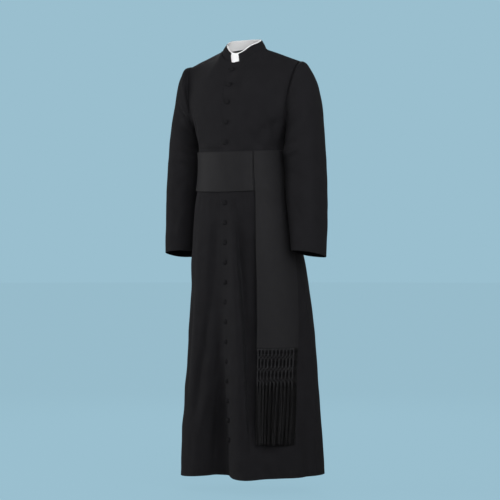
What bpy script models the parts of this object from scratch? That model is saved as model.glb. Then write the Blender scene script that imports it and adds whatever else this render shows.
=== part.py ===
"""A full-length Roman cassock with its fascia, worn and hollow, as its wearer's shoulders hold it.

Metres, +Z up. The garment faces -Y and the wearer's left is +X. The origin lies between the two
side-neck points, where the wearer's shoulders hold the cloth. Every panel is the inner face of the
cloth, given its wall outwards by Solidify. A wearer's angle is measured about the middle of a
section, in degrees: 0 at the centre front, 90 at the left side seam, 180 at the centre back.
"""

import math
from collections import namedtuple

import bmesh
import bpy
import numpy as np
from mathutils import Matrix, Vector

# ------------------------------------------------------------------ driving sizes, in metres
CLOTH = 0.0016                  # wall of the black wool cloth
FAILLE = 0.0014                 # wall of the fascia's ribbed silk
COLLAR_WALL = 0.0020
INSERT_WALL = 0.0010            # the white collar insert
SEAM = 0.0004                   # parting between two pieces that are sewn together
HEM_HEIGHT = -1.445
ARMPIT_HEIGHT = -0.270
LAP = 0.019                     # how far each front runs past the centre front
LAP_ROUNDING = 0.030            # height over which the upper front's edge curves in at the neck
LAP_AT_NECK = -0.004            # where that edge meets the neckline
LAP_EASE = (1.05, 3.05)         # in laps from the centre, where the upper front comes to lie flush

NECK_HALF_WIDTH = 0.080
NECK_FRONT = -0.074
NECK_BACK = 0.064
NECK_FRONT_HEIGHT = -0.046
NECK_SIDE_HEIGHT = 0.003
NECK_BACK_HEIGHT = 0.016
NECK_SHARE = 0.40               # share of a half panel's top edge that is neckline
NECK_CORNER_REACH = 0.22        # how widely the corner of neckline and shoulder eases out below
SHOULDER = (0.205, 0.008, -0.045)
SHOULDER_SEAM_REACH = 0.012     # how near the neck's corner the shoulder seam begins
SHOULDER_SEAM_BAND = (-0.055, 0.020)  # the seam's rows lie above this z and within this y

COLLAR_TOP_HALF_WIDTH = 0.063
COLLAR_TOP_FRONT = -0.067
COLLAR_TOP_BACK = 0.052
COLLAR_FRONT_RISE = 0.029
COLLAR_SIDE_RISE = 0.031
COLLAR_BACK_RISE = 0.024
COLLAR_NOTCH = 0.035            # width of the square opening at the throat
COLLAR_TURN_IN = 0.003          # how far the collar's seam runs down inside the neckline
INSERT_SHOWS = 0.0026           # how far the white insert stands above the collar

BUTTON_RADIUS = 0.0085
BUTTON_DOME = 0.0052
BUTTON_STEPS = 8
BUTTON_SEAT = 0.0005            # clears the bend of the cloth under a flat-backed button

BAND_TOP_FRONT = -0.352
BAND_TOP_BACK = -0.336
BAND_BOTTOM_FRONT = -0.486
BAND_BOTTOM_BACK = -0.464
BAND_LIFT = 0.0052              # inner face of the band over the inner face of the panels
REAR_FALL_LIFT = 0.0044         # inner face of the rear fall over that of the panels
FRONT_FALL_LIFT = REAR_FALL_LIFT + FAILLE + 2.0 * SEAM
FALL_STEP = 0.0040              # how much higher a fall lies where it crosses the band
FALL_STEP_START = 0.012         # how far above the band's bottom edge that step begins
FALL_STEP_HEIGHT = 0.050        # and the height it takes
FALL_END = -1.0085
FRINGE_END = -1.338
FALL_SPACES = 8                 # spaces between the lines of points across a fall
FALL_ROWS = 13
FALL_SHIFT = 1.0 / FALL_SPACES  # share of a fall's width by which the rear one shows
BUNDLES = 11                    # knotted bundles across a fringe, two free strands from each
KNOTTED_STRAND = 0.14           # width of a strand as a share of its bundle's, in the net
FREE_STRAND = 0.32              # and where it hangs free
STRAND_SPREAD_HEIGHT = 0.030    # height over which a free strand spreads out
STRAND_SWAY = 0.10              # sideways sway of the free ends, as a share of a bundle
FRINGE_BOW = 0.004              # how much lower the middle of the fringe hangs than its edges
FREE_LENGTH = 0.200             # length over which sway and bow reach their full size

# ------------------------------------------------------------------ tables
# A row for each level section of the body, from the armpit down. front, back and middle are y.
Section = namedtuple("Section", "height half_width front back middle squareness")
BODY_SECTIONS = (
    Section(-0.270, 0.166, -0.134, 0.104, -0.010, 2.35),
    Section(-0.305, 0.158, -0.139, 0.096, -0.016, 2.30),
    Section(-0.345, 0.150, -0.142, 0.088, -0.020, 2.25),
    Section(-0.410, 0.149, -0.143, 0.088, -0.018, 2.25),
    Section(-0.475, 0.157, -0.143, 0.104, -0.010, 2.30),
    Section(-0.560, 0.172, -0.142, 0.140, 0.004, 2.35),
    Section(-0.640, 0.181, -0.141, 0.168, 0.018, 2.40),
    Section(-0.720, 0.191, -0.140, 0.188, 0.032, 2.40),
    Section(-0.800, 0.201, -0.138, 0.204, 0.044, 2.35),
    Section(-0.960, 0.216, -0.132, 0.222, 0.058, 2.30),
    Section(-1.155, 0.229, -0.122, 0.222, 0.056, 2.25),
    Section(-1.320, 0.238, -0.112, 0.228, 0.060, 2.20),
    Section(-1.445, 0.241, -0.108, 0.236, 0.064, 2.20),
)

# A row for each main fold of the skirt. Angles and widths in degrees, swell in metres at the hem,
# outwards where positive. Each fold grows from its start height down to the hem.
Fold = namedtuple("Fold", "start top_angle hem_angle top_width hem_width swell power")
SKIRT_FOLDS = (
    Fold(-0.480, 9.0, 18.0, 6.0, 15.0, 0.046, 1.00),
    Fold(-0.480, -9.0, -13.0, 8.0, 15.0, -0.040, 0.90),
    Fold(-0.620, -48.0, -47.0, 12.0, 17.0, 0.036, 1.20),
    Fold(-0.560, -76.0, -74.0, 9.0, 12.0, -0.014, 1.10),
    Fold(-0.800, -100.0, -99.0, 9.0, 12.0, 0.024, 1.30),
    Fold(-0.640, -126.0, -124.0, 8.0, 11.0, -0.026, 1.10),
    Fold(-0.520, -150.0, -148.0, 8.0, 12.0, 0.026, 1.00),
    Fold(-0.500, -167.0, -166.0, 5.0, 8.0, -0.024, 0.95),
    Fold(-0.480, 166.0, 168.0, 5.0, 9.0, -0.020, 0.95),
    Fold(-0.520, 148.0, 151.0, 8.0, 12.0, 0.028, 1.05),
    Fold(-0.660, 124.0, 127.0, 8.0, 11.0, -0.024, 1.15),
    Fold(-0.760, 101.0, 103.0, 9.0, 12.0, 0.012, 1.30),
    Fold(-1.150, 80.0, 79.0, 5.0, 6.0, -0.010, 1.00),
)

# Where the hem hangs lower: the wearer's angle, its reach in degrees and the drop.
HemDip = namedtuple("HemDip", "angle reach drop")
HEM_DIPS = (
    HemDip(-52.0, 20.0, 0.008),
    HemDip(20.0, 20.0, 0.004),
    HemDip(-148.0, 18.0, 0.005),
    HemDip(150.0, 16.0, 0.006),
)
HEM_DIP_HEIGHT = 0.10           # height over which a dip dies out

# The centre front and centre back between armpit and neck: share of the way up, and y of each.
MiddleRow = namedtuple("MiddleRow", "share front back")
MIDDLE_PROFILE = (
    MiddleRow(0.00, BODY_SECTIONS[0].front, BODY_SECTIONS[0].back),
    MiddleRow(0.35, -0.125, 0.111),
    MiddleRow(0.62, -0.111, 0.109),
    MiddleRow(0.85, -0.094, 0.090),
    MiddleRow(1.00, NECK_FRONT, NECK_BACK),
)

# How a column of the chest or back rises to the top edge: powers of the share of the way up. A
# high power keeps the cloth near the armpit's section for longer. The front has one at the
# centre and one from the neck's corner outwards.
WIDTH_RISE = 1.6
FRONT_RISE = (2.2, 3.2)
BACK_RISE = 4.5
ARM_NEARNESS = 5                # a high power keeps the armhole's pull near the armhole
MIDDLE_NEARNESS = {False: 6, True: 3}  # and the middle's near the middle, front and behind

# The armhole from armpit to shoulder: share of the way, x, front y, back y and height.
ArmholeRow = namedtuple("ArmholeRow", "share x front back height")
ARMHOLE = (
    ArmholeRow(0.00, 0.166, -0.010, -0.010, -0.270),
    ArmholeRow(0.12, 0.169, -0.034, 0.018, -0.262),
    ArmholeRow(0.30, 0.176, -0.053, 0.042, -0.228),
    ArmholeRow(0.55, 0.187, -0.056, 0.054, -0.168),
    ArmholeRow(0.80, 0.197, -0.037, 0.042, -0.098),
    ArmholeRow(0.93, 0.203, -0.016, 0.027, -0.060),
    ArmholeRow(1.00, SHOULDER[0], SHOULDER[1], SHOULDER[1], SHOULDER[2]),
)
ARMHOLE_MIDDLE = (0.186, 0.004, -0.157)

# A row for each section of a sleeve after the armhole: its inner and outer ends, its middle y on
# the left and on the right arm, half its depth, and how far it drops for each metre backwards.
SleeveRow = namedtuple(
    "SleeveRow", "inner_x inner_z outer_x outer_z left_y right_y half_depth drop"
)
SLEEVE_SECTIONS = (
    SleeveRow(0.1712, -0.2730, 0.2240, -0.0500, 0.003, 0.004, 0.066, 0.00),
    SleeveRow(0.1722, -0.2840, 0.2480, -0.0790, 0.008, 0.012, 0.074, 0.00),
    SleeveRow(0.1712, -0.3000, 0.2640, -0.1230, 0.014, 0.020, 0.082, 0.00),
    SleeveRow(0.1715, -0.3250, 0.2735, -0.1850, 0.012, 0.022, 0.084, 0.00),
    SleeveRow(0.1715, -0.3600, 0.2800, -0.2550, 0.010, 0.022, 0.084, 0.00),
    SleeveRow(0.1720, -0.4100, 0.2860, -0.3350, 0.007, 0.020, 0.083, 0.00),
    SleeveRow(0.1760, -0.4600, 0.2910, -0.4250, 0.005, 0.020, 0.082, 0.02),
    SleeveRow(0.1830, -0.5300, 0.2950, -0.5150, 0.001, 0.022, 0.080, 0.06),
    SleeveRow(0.1905, -0.6050, 0.2975, -0.6080, -0.005, 0.024, 0.076, 0.11),
    SleeveRow(0.1985, -0.6900, 0.2990, -0.6980, -0.014, 0.020, 0.070, 0.15),
)

NumberedRow = namedtuple("NumberedRow", ("number",) + SleeveRow._fields)
NUMBERED_SECTIONS = [NumberedRow(number, *row) for number, row in enumerate(SLEEVE_SECTIONS)]

# A row for each soft crease of a sleeve: its place along the sleeve (0 to 1) and around it, in
# degrees from the outer line towards the front, its reach both ways, and its swell in metres.
Crease = namedtuple("Crease", "along around reach_along reach_around swell")
SLEEVE_CREASES = (
    Crease(0.32, 120.0, 0.08, 50.0, -0.005),
    Crease(0.45, 140.0, 0.08, 50.0, 0.004),
    Crease(0.60, 100.0, 0.08, 50.0, -0.005),
    Crease(0.55, 250.0, 0.09, 50.0, -0.004),
    Crease(0.80, 75.0, 0.10, 40.0, -0.004),
)

# Where the falls lie on the body: height, and the wearer's angles of their two edges.
FallRow = namedtuple("FallRow", "height inner_angle outer_angle")
FALL_EDGES = (
    FallRow(-0.340, 44.0, 92.0),
    FallRow(-0.480, 42.0, 88.0),
    FallRow(-0.600, 38.0, 81.0),
    FallRow(-0.720, 34.5, 75.0),
    FallRow(-0.960, 31.0, 66.5),
    FallRow(-1.200, 29.5, 63.0),
    FallRow(-1.345, 28.5, 60.5),
)

# A fringe from its heading down: height of each course, and what parts in it: nothing, the
# spaces between bundles, the spaces within bundles, or both, below which the strands hang free.
Course = namedtuple("Course", "height parts")
FRINGE_COURSES = (
    Course(0.005, "none"),
    Course(0.014, "between"),
    Course(0.022, "none"),
    Course(0.018, "within"),
    Course(0.021, "none"),
    Course(0.018, "between"),
    Course(0.019, "none"),
)
FREE_COURSES = 3

# A button from its top to the middle of its flat back, in shares of its radius and its dome.
BUTTON_PROFILE = ((0.0, 1.0), (0.60, 0.80), (1.0, 0.36), (0.92, 0.0), (0.0, 0.0))
BUTTON_HEIGHTS_ABOVE_BAND = (-0.0730, -0.1250, -0.1840, -0.2520, -0.3210)
FIRST_BUTTON_BELOW_BAND = -0.5220
BUTTON_SPACING = 0.0665
BUTTONS_BELOW_BAND = 13

# Half the steps over which a surface's normal is measured: a level and an angle in degrees.
NORMAL_STEP = 0.004
NORMAL_TURN = 0.5

# Heights of the rows of points on a skirt panel, and shares of the way up above the armpit.
SKIRT_ROWS = (
    HEM_HEIGHT, -1.395, -1.320, -1.240, -1.160, -1.080, -1.000, -0.925, -0.855, -0.785, -0.715,
    -0.645, -0.580, -0.525, -0.475, -0.425, -0.375, -0.320, ARMPIT_HEIGHT,
)
CHEST_ROWS = (0.14, 0.28, 0.42, 0.56, 0.70, 0.83, 0.93, 1.00)
FRONT_COLUMNS = 16
BACK_COLUMNS = 14
SLEEVE_TURN_IN = 0.0004         # how far a sleeve's seam runs in behind the armhole's edge
SLEEVE_NECK = 0.0060            # how far it runs straight out before it swells
SLEEVE_INSET = 0.0010           # how far its wall lies inside the armhole's edge
SLEEVE_COLUMNS = 2 * len(CHEST_ROWS)
SLEEVE_SQUARENESS = 2.5
SLEEVE_SQUARES_BY = 0.35        # share of the sleeve by which it has that squareness
SLEEVE_HALF_WIDTH = 0.065       # at the elbow, which turns a crease's swell into a share
SLEEVE_ROWS = 15
COLLAR_COLUMNS = 26
COLLAR_ROW = 0.35               # share of the way up of the row between base and top edge
BAND_COLUMNS = 40

COLOURS = {
    "black_wool": ((0.0120, 0.0125, 0.0145, 1.0), 0.78, 0.0),
    "black_faille": ((0.0200, 0.0205, 0.0230, 1.0), 0.50, 0.0),
    "fringe_silk": ((0.0110, 0.0112, 0.0125, 1.0), 0.60, 0.0),
    "white_insert": ((0.8200, 0.8300, 0.8400, 1.0), 0.45, 0.0),
}


# ------------------------------------------------------------------ small helpers
def smooth_step(value):
    """0 below 0, 1 above 1, and an even S between."""
    value = min(max(value, 0.0), 1.0)
    return value * value * (3.0 - 2.0 * value)


def mix(first, second, share):
    return first + (second - first) * share


def read_table(rows, key, at):
    """Each column of a table at one value of its key column, on a smooth curve through its rows."""
    keys = [getattr(row, key) for row in rows]
    table = [row for _, row in sorted(zip(keys, rows), key=lambda pair: pair[0])]
    keys = sorted(keys)
    at = min(max(at, keys[0]), keys[-1])
    index = min(max(int(np.searchsorted(keys, at)) - 1, 0), len(keys) - 2)
    span = keys[index + 1] - keys[index]
    share = (at - keys[index]) / span
    values = np.array([list(row) for row in table], float)

    def slope(row):
        low = max(row - 1, 0)
        high = min(row + 1, len(keys) - 1)
        return (values[high] - values[low]) / (keys[high] - keys[low])

    first = values[index]
    second = values[index + 1]
    square = share * share
    cube = square * share
    found = (
        (2 * cube - 3 * square + 1) * first
        + (cube - 2 * square + share) * span * slope(index)
        + (3 * square - 2 * cube) * second
        + (cube - square) * span * slope(index + 1)
    )
    return type(table[0])(*found)


# ------------------------------------------------------------------ the body's surface
def fold_swell(angle, height):
    """How far the skirt's folds push its surface out at a wearer's angle and a height."""
    total = 0.0
    for fold in SKIRT_FOLDS:
        share = (fold.start - height) / (fold.start - HEM_HEIGHT)
        if share <= 0.0:
            continue
        centre = mix(fold.top_angle, fold.hem_angle, share)
        width = mix(fold.top_width, fold.hem_width, share)
        away = (angle - centre + 180.0) % 360.0 - 180.0
        total += fold.swell * share**fold.power * math.exp(-((away / width) ** 2))
    return total


def hem_dip(angle):
    total = 0.0
    for dip in HEM_DIPS:
        away = (angle - dip.angle + 180.0) % 360.0 - 180.0
        total += dip.drop * math.exp(-((away / dip.reach) ** 2))
    return total


def section_point(angle, height):
    """A point of the body's inner face below the armpit."""
    row = read_table(BODY_SECTIONS, "height", height)
    turn = math.radians(angle)
    across = abs(math.sin(turn)) / row.half_width
    depth = row.middle - row.front if math.cos(turn) > 0.0 else row.back - row.middle
    along = abs(math.cos(turn)) / depth
    radius = (across**row.squareness + along**row.squareness) ** (-1.0 / row.squareness)
    radius += fold_swell(angle, height)
    low = smooth_step((HEM_HEIGHT + HEM_DIP_HEIGHT - height) / HEM_DIP_HEIGHT)
    z = height - low * hem_dip(angle)
    return np.array([radius * math.sin(turn), row.middle - radius * math.cos(turn), z])


def neck_point(turn_degrees, half_width=NECK_HALF_WIDTH, front=NECK_FRONT, back=NECK_BACK):
    """A point of the neckline: 0 at the centre front, 90 at the left side, 180 at the back."""
    turn = math.radians(turn_degrees)
    forward = math.cos(turn)
    depth = -front if forward > 0.0 else back
    end_height = NECK_FRONT_HEIGHT if forward > 0.0 else NECK_BACK_HEIGHT
    height = mix(NECK_SIDE_HEIGHT, end_height, forward * forward)
    return np.array([half_width * math.sin(turn), -depth * forward, height])


def top_edge_point(share, behind):
    """The panels' top edge: neckline for the first part of the half, then the shoulder seam."""
    if share <= NECK_SHARE:
        turn = 90.0 * share / NECK_SHARE
        return neck_point(180.0 - turn if behind else turn)
    along = (share - NECK_SHARE) / (1.0 - NECK_SHARE)
    return mix(neck_point(90.0), np.array(SHOULDER), along)


def armhole_point(share, behind):
    row = read_table(ARMHOLE, "share", share)
    return np.array([row.x, row.back if behind else row.front, row.height])


def chest_point(angle, share):
    """A point of the inner face above the armpit, share of the way to the top edge.

    Each column eases from the armpit's section to the top edge. Near the arm it is drawn to the
    armhole's edge, and near the middle to the profile of the chest or the back.
    """
    side = -1.0 if angle < 0.0 else 1.0
    behind = abs(angle) > 90.0
    across = (180.0 - abs(angle)) / 90.0 if behind else abs(angle) / 90.0

    def column(at):
        ring = section_point(180.0 - 90.0 * at if behind else 90.0 * at, ARMPIT_HEIGHT)
        reach = NECK_CORNER_REACH * math.sqrt(1.0 - share)
        near = [top_edge_point(at + reach * part, behind) for part in (-1.0, -0.5, 0.0, 0.5, 1.0)]
        top = sum(near) / len(near)
        depth_power = BACK_RISE if behind else mix(*FRONT_RISE, smooth_step(at / NECK_SHARE))
        return np.array([
            mix(ring[0], top[0], share**WIDTH_RISE),
            mix(ring[1], top[1], share**depth_power),
            mix(ring[2], top[2], share),
        ])

    point = column(across)
    near_arm = across**ARM_NEARNESS
    point += (armhole_point(share, behind) - column(1.0)) * near_arm
    near_middle = (1.0 - across * across) ** MIDDLE_NEARNESS[behind]
    profile = read_table(MIDDLE_PROFILE, "share", share)
    point[1] += ((profile.back if behind else profile.front) - column(0.0)[1]) * near_middle
    point[0] *= side
    return point


def body_point(angle, level):
    """level is a height below the armpit, or above it ARMPIT_HEIGHT plus a share of the way up."""
    angle = (angle + 180.0) % 360.0 - 180.0
    if level <= ARMPIT_HEIGHT:
        return section_point(angle, level)
    return chest_point(angle, level - ARMPIT_HEIGHT)


def lifted(angle, level, lift):
    """The body's surface moved out along its normal."""
    point = body_point(angle, level)
    if lift == 0.0:
        return point
    above = min(level + NORMAL_STEP, ARMPIT_HEIGHT + 1.0)
    below = max(level - NORMAL_STEP, HEM_HEIGHT)
    if level > ARMPIT_HEIGHT:
        below = max(below, ARMPIT_HEIGHT + 1e-6)
    around = body_point(angle + NORMAL_TURN, level) - body_point(angle - NORMAL_TURN, level)
    upward = body_point(angle, above) - body_point(angle, below)
    normal = np.cross(around, upward)
    return point + normal / np.linalg.norm(normal) * lift


def levels():
    return list(SKIRT_ROWS) + [ARMPIT_HEIGHT + share for share in CHEST_ROWS]


# ------------------------------------------------------------------ objects
parts = None


def start_scene():
    for obj in list(bpy.data.objects):
        bpy.data.objects.remove(obj, do_unlink=True)
    collection = bpy.data.collections.new("cassock")
    bpy.context.scene.collection.children.link(collection)
    return collection


def material(name):
    found = bpy.data.materials.get(name)
    if found:
        return found
    colour, roughness, metallic = COLOURS[name]
    made = bpy.data.materials.new(name)
    made.use_nodes = True
    shader = made.node_tree.nodes["Principled BSDF"]
    shader.inputs["Base Color"].default_value = colour
    shader.inputs["Roughness"].default_value = roughness
    shader.inputs["Metallic"].default_value = metallic
    return made


def add_object(name, mesh, finish):
    mesh.materials.append(material(finish))
    mesh.shade_smooth()
    obj = bpy.data.objects.new(name, mesh)
    parts.objects.link(obj)
    return obj


def loft(name, rows, finish, wall, closed=False, is_filled=None):
    """Cloth through rows of points, from the bottom row up, each running towards the wearer's left.

    The wall grows outwards from the points. is_filled says which cells of the net are cloth.
    """
    net = bmesh.new()
    made = [[net.verts.new(point) for point in row] for row in rows]
    columns = len(rows[0])
    for low in range(len(rows) - 1):
        for left in range(columns if closed else columns - 1):
            if is_filled and not is_filled(low, left):
                continue
            right = (left + 1) % columns
            net.faces.new((
                made[low][left], made[low][right], made[low + 1][right], made[low + 1][left],
            ))
    loose = [vertex for vertex in net.verts if not vertex.link_faces]
    bmesh.ops.delete(net, geom=loose, context="VERTS")
    mesh = bpy.data.meshes.new(name)
    net.to_mesh(mesh)
    net.free()
    obj = add_object(name, mesh, finish)
    thickness = obj.modifiers.new("wall", "SOLIDIFY")
    thickness.thickness = wall
    thickness.offset = 1.0
    return obj


# ------------------------------------------------------------------ panels
def seam_angle():
    """Half a seam's parting, as an angle at the sides and back."""
    return math.degrees(SEAM / 2.0 / BODY_SECTIONS[0].half_width)


def lap_angle(level, lap):
    """The angle that lies a lap past the centre front."""
    small = 3.0
    metres_a_degree = body_point(small, level)[0] / small
    return lap / metres_a_degree


def upper_lap(level):
    """The upper front's lap, which curves in below the collar."""
    top = body_point(0.0, ARMPIT_HEIGHT + 1.0)[2]
    below = top - body_point(0.0, level)[2]
    return mix(LAP_AT_NECK, LAP, math.sqrt(smooth_step(below / LAP_ROUNDING)))


def front_angles(level, edge):
    """The angles of a front's columns: three across the lap, and the rest to the side seam."""
    lap = lap_angle(level, LAP)
    side = 90.0 - seam_angle()
    spaces = FRONT_COLUMNS - 3
    return [edge, (edge + lap) / 2.0] + [mix(lap, side, place / spaces) for place in range(spaces + 1)]


def make_fronts():
    """The wearer's left front laps over the right one, one wall proud of it near the buttons."""
    left_rows = []
    right_rows = []
    for level in levels():
        lap = lap_angle(level, LAP)
        left_row = []
        for angle in front_angles(level, -lap_angle(level, upper_lap(level))):
            proud = 1.0 - smooth_step((angle / lap - LAP_EASE[0]) / (LAP_EASE[1] - LAP_EASE[0]))
            left_row.append(lifted(angle, level, (CLOTH + SEAM) * proud))
        left_rows.append(left_row)
        right_rows.append([body_point(-angle, level) for angle in front_angles(level, -lap)][::-1])
    loft("front_left", left_rows, "black_wool", CLOTH)
    loft("front_right", right_rows, "black_wool", CLOTH)


def make_backs():
    parting = seam_angle()
    for name, first, last in (("back_left", 90.0, 180.0), ("back_right", 180.0, 270.0)):
        angles = [
            mix(first + parting, last - parting, column / (BACK_COLUMNS - 1))
            for column in range(BACK_COLUMNS)
        ]
        rows = [[body_point(angle, level) for angle in angles] for level in levels()]
        loft(name, rows, "black_wool", CLOTH)


def part_shoulder_seams():
    """The fronts' and backs' top rows meet at the shoulder, so each stands back by half a seam."""
    for obj in parts.objects:
        if not obj.name.startswith(("front_", "back_")):
            continue
        behind = obj.name.startswith("back_")
        for vertex in obj.data.vertices:
            past_neck = abs(vertex.co.x) > NECK_HALF_WIDTH - SHOULDER_SEAM_REACH
            lowest, furthest = SHOULDER_SEAM_BAND
            if past_neck and vertex.co.z > lowest and abs(vertex.co.y) < furthest:
                vertex.co.y += SEAM if behind else -SEAM


# ------------------------------------------------------------------ sleeves
def armhole_ring(side, inset, outwards):
    """The armhole as a ring of points: 0 at the shoulder, then front, armpit and back."""
    row = []
    middle = np.array(ARMHOLE_MIDDLE)
    shares = [0.0] + list(CHEST_ROWS)
    ring = [(share, False) for share in reversed(shares)] + [(share, True) for share in shares[1:-1]]
    for share, behind in ring:
        point = armhole_point(share, behind)
        inward = middle - point
        inward[0] = 0.0
        point = point + inward / np.linalg.norm(inward) * inset
        point[0] += outwards
        point[0] *= side
        row.append(point)
    return row


def sleeve_ring(side, along):
    """A ring of the sleeve, along from 0 near the armhole to 1 at the cuff."""
    index = along * (len(SLEEVE_SECTIONS) - 1)
    row = read_table(NUMBERED_SECTIONS, "number", index)
    middle_y = row.left_y if side > 0 else row.right_y
    ring = []
    for column in range(SLEEVE_COLUMNS):
        degrees = 360.0 * column / SLEEVE_COLUMNS
        turn = math.radians(degrees)
        swell = 1.0
        for crease in SLEEVE_CREASES:
            away = (degrees - crease.around + 180.0) % 360.0 - 180.0
            near = ((along - crease.along) / crease.reach_along) ** 2
            near += (away / crease.reach_around) ** 2
            swell += crease.swell / SLEEVE_HALF_WIDTH * math.exp(-near)
        squareness = mix(2.0, SLEEVE_SQUARENESS, smooth_step(along / SLEEVE_SQUARES_BY))
        cosine = abs(math.cos(turn)) ** squareness
        sine = abs(math.sin(turn)) ** squareness
        radius = swell * (cosine + sine) ** (-1.0 / squareness)
        outer = 0.5 + 0.5 * math.cos(turn) * radius
        y = middle_y - row.half_depth * math.sin(turn) * radius
        x = mix(row.inner_x, row.outer_x, outer)
        z = mix(row.inner_z, row.outer_z, outer) - row.drop * (y - middle_y)
        ring.append(np.array([x * side, y, z]))
    return ring


def make_sleeve(name, side):
    """A tube set into the armhole, its seam turned inside the body's edge."""
    inset = CLOTH + SLEEVE_INSET
    rings = [armhole_ring(side, inset, -SLEEVE_TURN_IN), armhole_ring(side, inset, SLEEVE_NECK)]
    for number in range(SLEEVE_ROWS):
        rings.append(sleeve_ring(side, number / (SLEEVE_ROWS - 1)))
    rings.reverse()
    if side < 0:
        rings = [[ring[0]] + ring[:0:-1] for ring in rings]
    rings = [[ring[0]] + ring[:0:-1] for ring in rings]
    loft(name, rings, "black_wool", CLOTH, closed=True)


# ------------------------------------------------------------------ collar
def collar_point(turn, rise_share, inset):
    """The standing collar's inner face: 0 at the neckline, 1 at its top edge."""
    base = neck_point(
        turn,
        NECK_HALF_WIDTH - inset,
        NECK_FRONT + inset,
        NECK_BACK - inset,
    )
    top = neck_point(
        turn,
        COLLAR_TOP_HALF_WIDTH - inset,
        COLLAR_TOP_FRONT + inset,
        COLLAR_TOP_BACK - inset,
    )
    forward = math.cos(math.radians(turn))
    end_rise = COLLAR_FRONT_RISE if forward > 0.0 else COLLAR_BACK_RISE
    top[2] += mix(COLLAR_SIDE_RISE, end_rise, forward * forward)
    return base + (top - base) * rise_share


def make_collar():
    turned_in = np.array([0.0, 0.0, COLLAR_TURN_IN])
    inset = COLLAR_WALL + 2.0 * SEAM
    notch = math.degrees(COLLAR_NOTCH / 2.0 / NECK_HALF_WIDTH)
    turns = [
        mix(notch, 360.0 - notch, column / (COLLAR_COLUMNS - 1)) for column in range(COLLAR_COLUMNS)
    ]
    rows = [
        [collar_point(turn, 0.0, inset) - turned_in for turn in turns],
        [collar_point(turn, COLLAR_ROW, inset) for turn in turns],
        [collar_point(turn, 1.0, inset) for turn in turns],
    ]
    loft("collar", rows, "black_wool", COLLAR_WALL)

    inset += INSERT_WALL + SEAM
    top_share = 1.0 + INSERT_SHOWS / COLLAR_SIDE_RISE
    turns = [0.0] + turns
    rows = [
        [collar_point(turn, 0.0, inset) - turned_in for turn in turns],
        [collar_point(turn, COLLAR_ROW, inset) for turn in turns],
        [collar_point(turn, 1.0, inset) for turn in turns],
        [collar_point(turn, top_share, inset) for turn in turns],
    ]
    loft("collar_insert", rows, "white_insert", INSERT_WALL, closed=True)


# ------------------------------------------------------------------ buttons
def button_mesh():
    """A cloth-covered button: a domed top over a short rim, turned about its own Z."""
    profile = [(across * BUTTON_RADIUS, up * BUTTON_DOME) for across, up in BUTTON_PROFILE]
    mesh = bpy.data.meshes.new("button")
    mesh.from_pydata(
        [(x, 0.0, z) for x, z in profile],
        [(first, first + 1) for first in range(len(profile) - 1)],
        [],
    )
    turner = bpy.data.objects.new("button_profile", mesh)
    parts.objects.link(turner)
    screw = turner.modifiers.new("turn", "SCREW")
    screw.axis = "Z"
    screw.steps = BUTTON_STEPS
    screw.render_steps = BUTTON_STEPS
    screw.use_merge_vertices = True
    screw.merge_threshold = 0.0001
    bpy.context.view_layer.update()
    graph = bpy.context.evaluated_depsgraph_get()
    turned = bpy.data.meshes.new_from_object(turner.evaluated_get(graph))
    bpy.data.objects.remove(turner)
    turned.materials.append(material("black_wool"))
    turned.shade_smooth()
    return turned


def level_at_height(height):
    """The level whose centre-front point lies at a height."""
    if height <= ARMPIT_HEIGHT:
        return height
    low = 0.0
    high = 1.0
    for _ in range(30):
        middle = (low + high) / 2.0
        if chest_point(0.0, middle)[2] < height:
            low = middle
        else:
            high = middle
    return ARMPIT_HEIGHT + low


def between_rows(angle, level, lift):
    """A point of the straight cloth between the panel's rows of points on either side of a level."""
    rows = levels()
    above = next(place for place, row in enumerate(rows) if row >= level)
    share = (level - rows[above - 1]) / (rows[above] - rows[above - 1])
    return mix(lifted(angle, rows[above - 1], lift), lifted(angle, rows[above], lift), share)


def make_buttons():
    heights = list(BUTTON_HEIGHTS_ABOVE_BAND)
    for number in range(BUTTONS_BELOW_BAND):
        heights.append(FIRST_BUTTON_BELOW_BAND - number * BUTTON_SPACING)
    shared = button_mesh()
    for number, height in enumerate(heights):
        level = level_at_height(height)
        seat_lift = 2.0 * CLOTH + SEAM
        seat = between_rows(0.0, level, seat_lift)
        outer = between_rows(0.0, level, seat_lift + BUTTON_DOME)
        normal = Vector(outer - seat).normalized()
        button = bpy.data.objects.new(f"button_{number + 1:02d}", shared)
        turn = normal.to_track_quat("Z", "Y").to_matrix().to_4x4()
        place = Vector(seat) + normal * BUTTON_SEAT
        button.matrix_world = Matrix.Translation(place) @ turn
        parts.objects.link(button)


# ------------------------------------------------------------------ fascia
def make_band():
    rows = []
    for share in (0.0, 0.5, 1.0):
        row = []
        for column in range(BAND_COLUMNS):
            angle = 360.0 * column / BAND_COLUMNS
            forward = 0.5 + 0.5 * math.cos(math.radians(angle))
            low = mix(BAND_BOTTOM_BACK, BAND_BOTTOM_FRONT, forward)
            high = mix(BAND_TOP_BACK, BAND_TOP_FRONT, forward)
            row.append(lifted(angle, mix(low, high, share), BAND_LIFT))
        rows.append(row)
    loft("fascia_band", rows, "black_faille", FAILLE, closed=True)


def fall_point(across, height, lift, shift):
    """A point on a fall: across from 0 at its inner edge to 1 at its outer edge."""
    row = read_table(FALL_EDGES, "height", height)
    angle = mix(row.inner_angle, row.outer_angle, across + shift)
    below = BAND_BOTTOM_FRONT + FALL_STEP_START - height
    over_band = 1.0 - smooth_step(below / FALL_STEP_HEIGHT)
    return lifted(angle, height, lift + over_band * FALL_STEP)


def make_fall(name, lift, shift):
    """A fall from the band's top edge to its fringe."""
    rows = []
    for number in range(FALL_ROWS):
        share = number / (FALL_ROWS - 1)
        row = []
        for column in range(FALL_SPACES + 1):
            across = column / FALL_SPACES
            top = fall_top(across, shift)
            row.append(fall_point(across, mix(FALL_END, top, share), lift, shift))
        rows.append(row)
    loft(name, rows, "black_faille", FAILLE)


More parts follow.
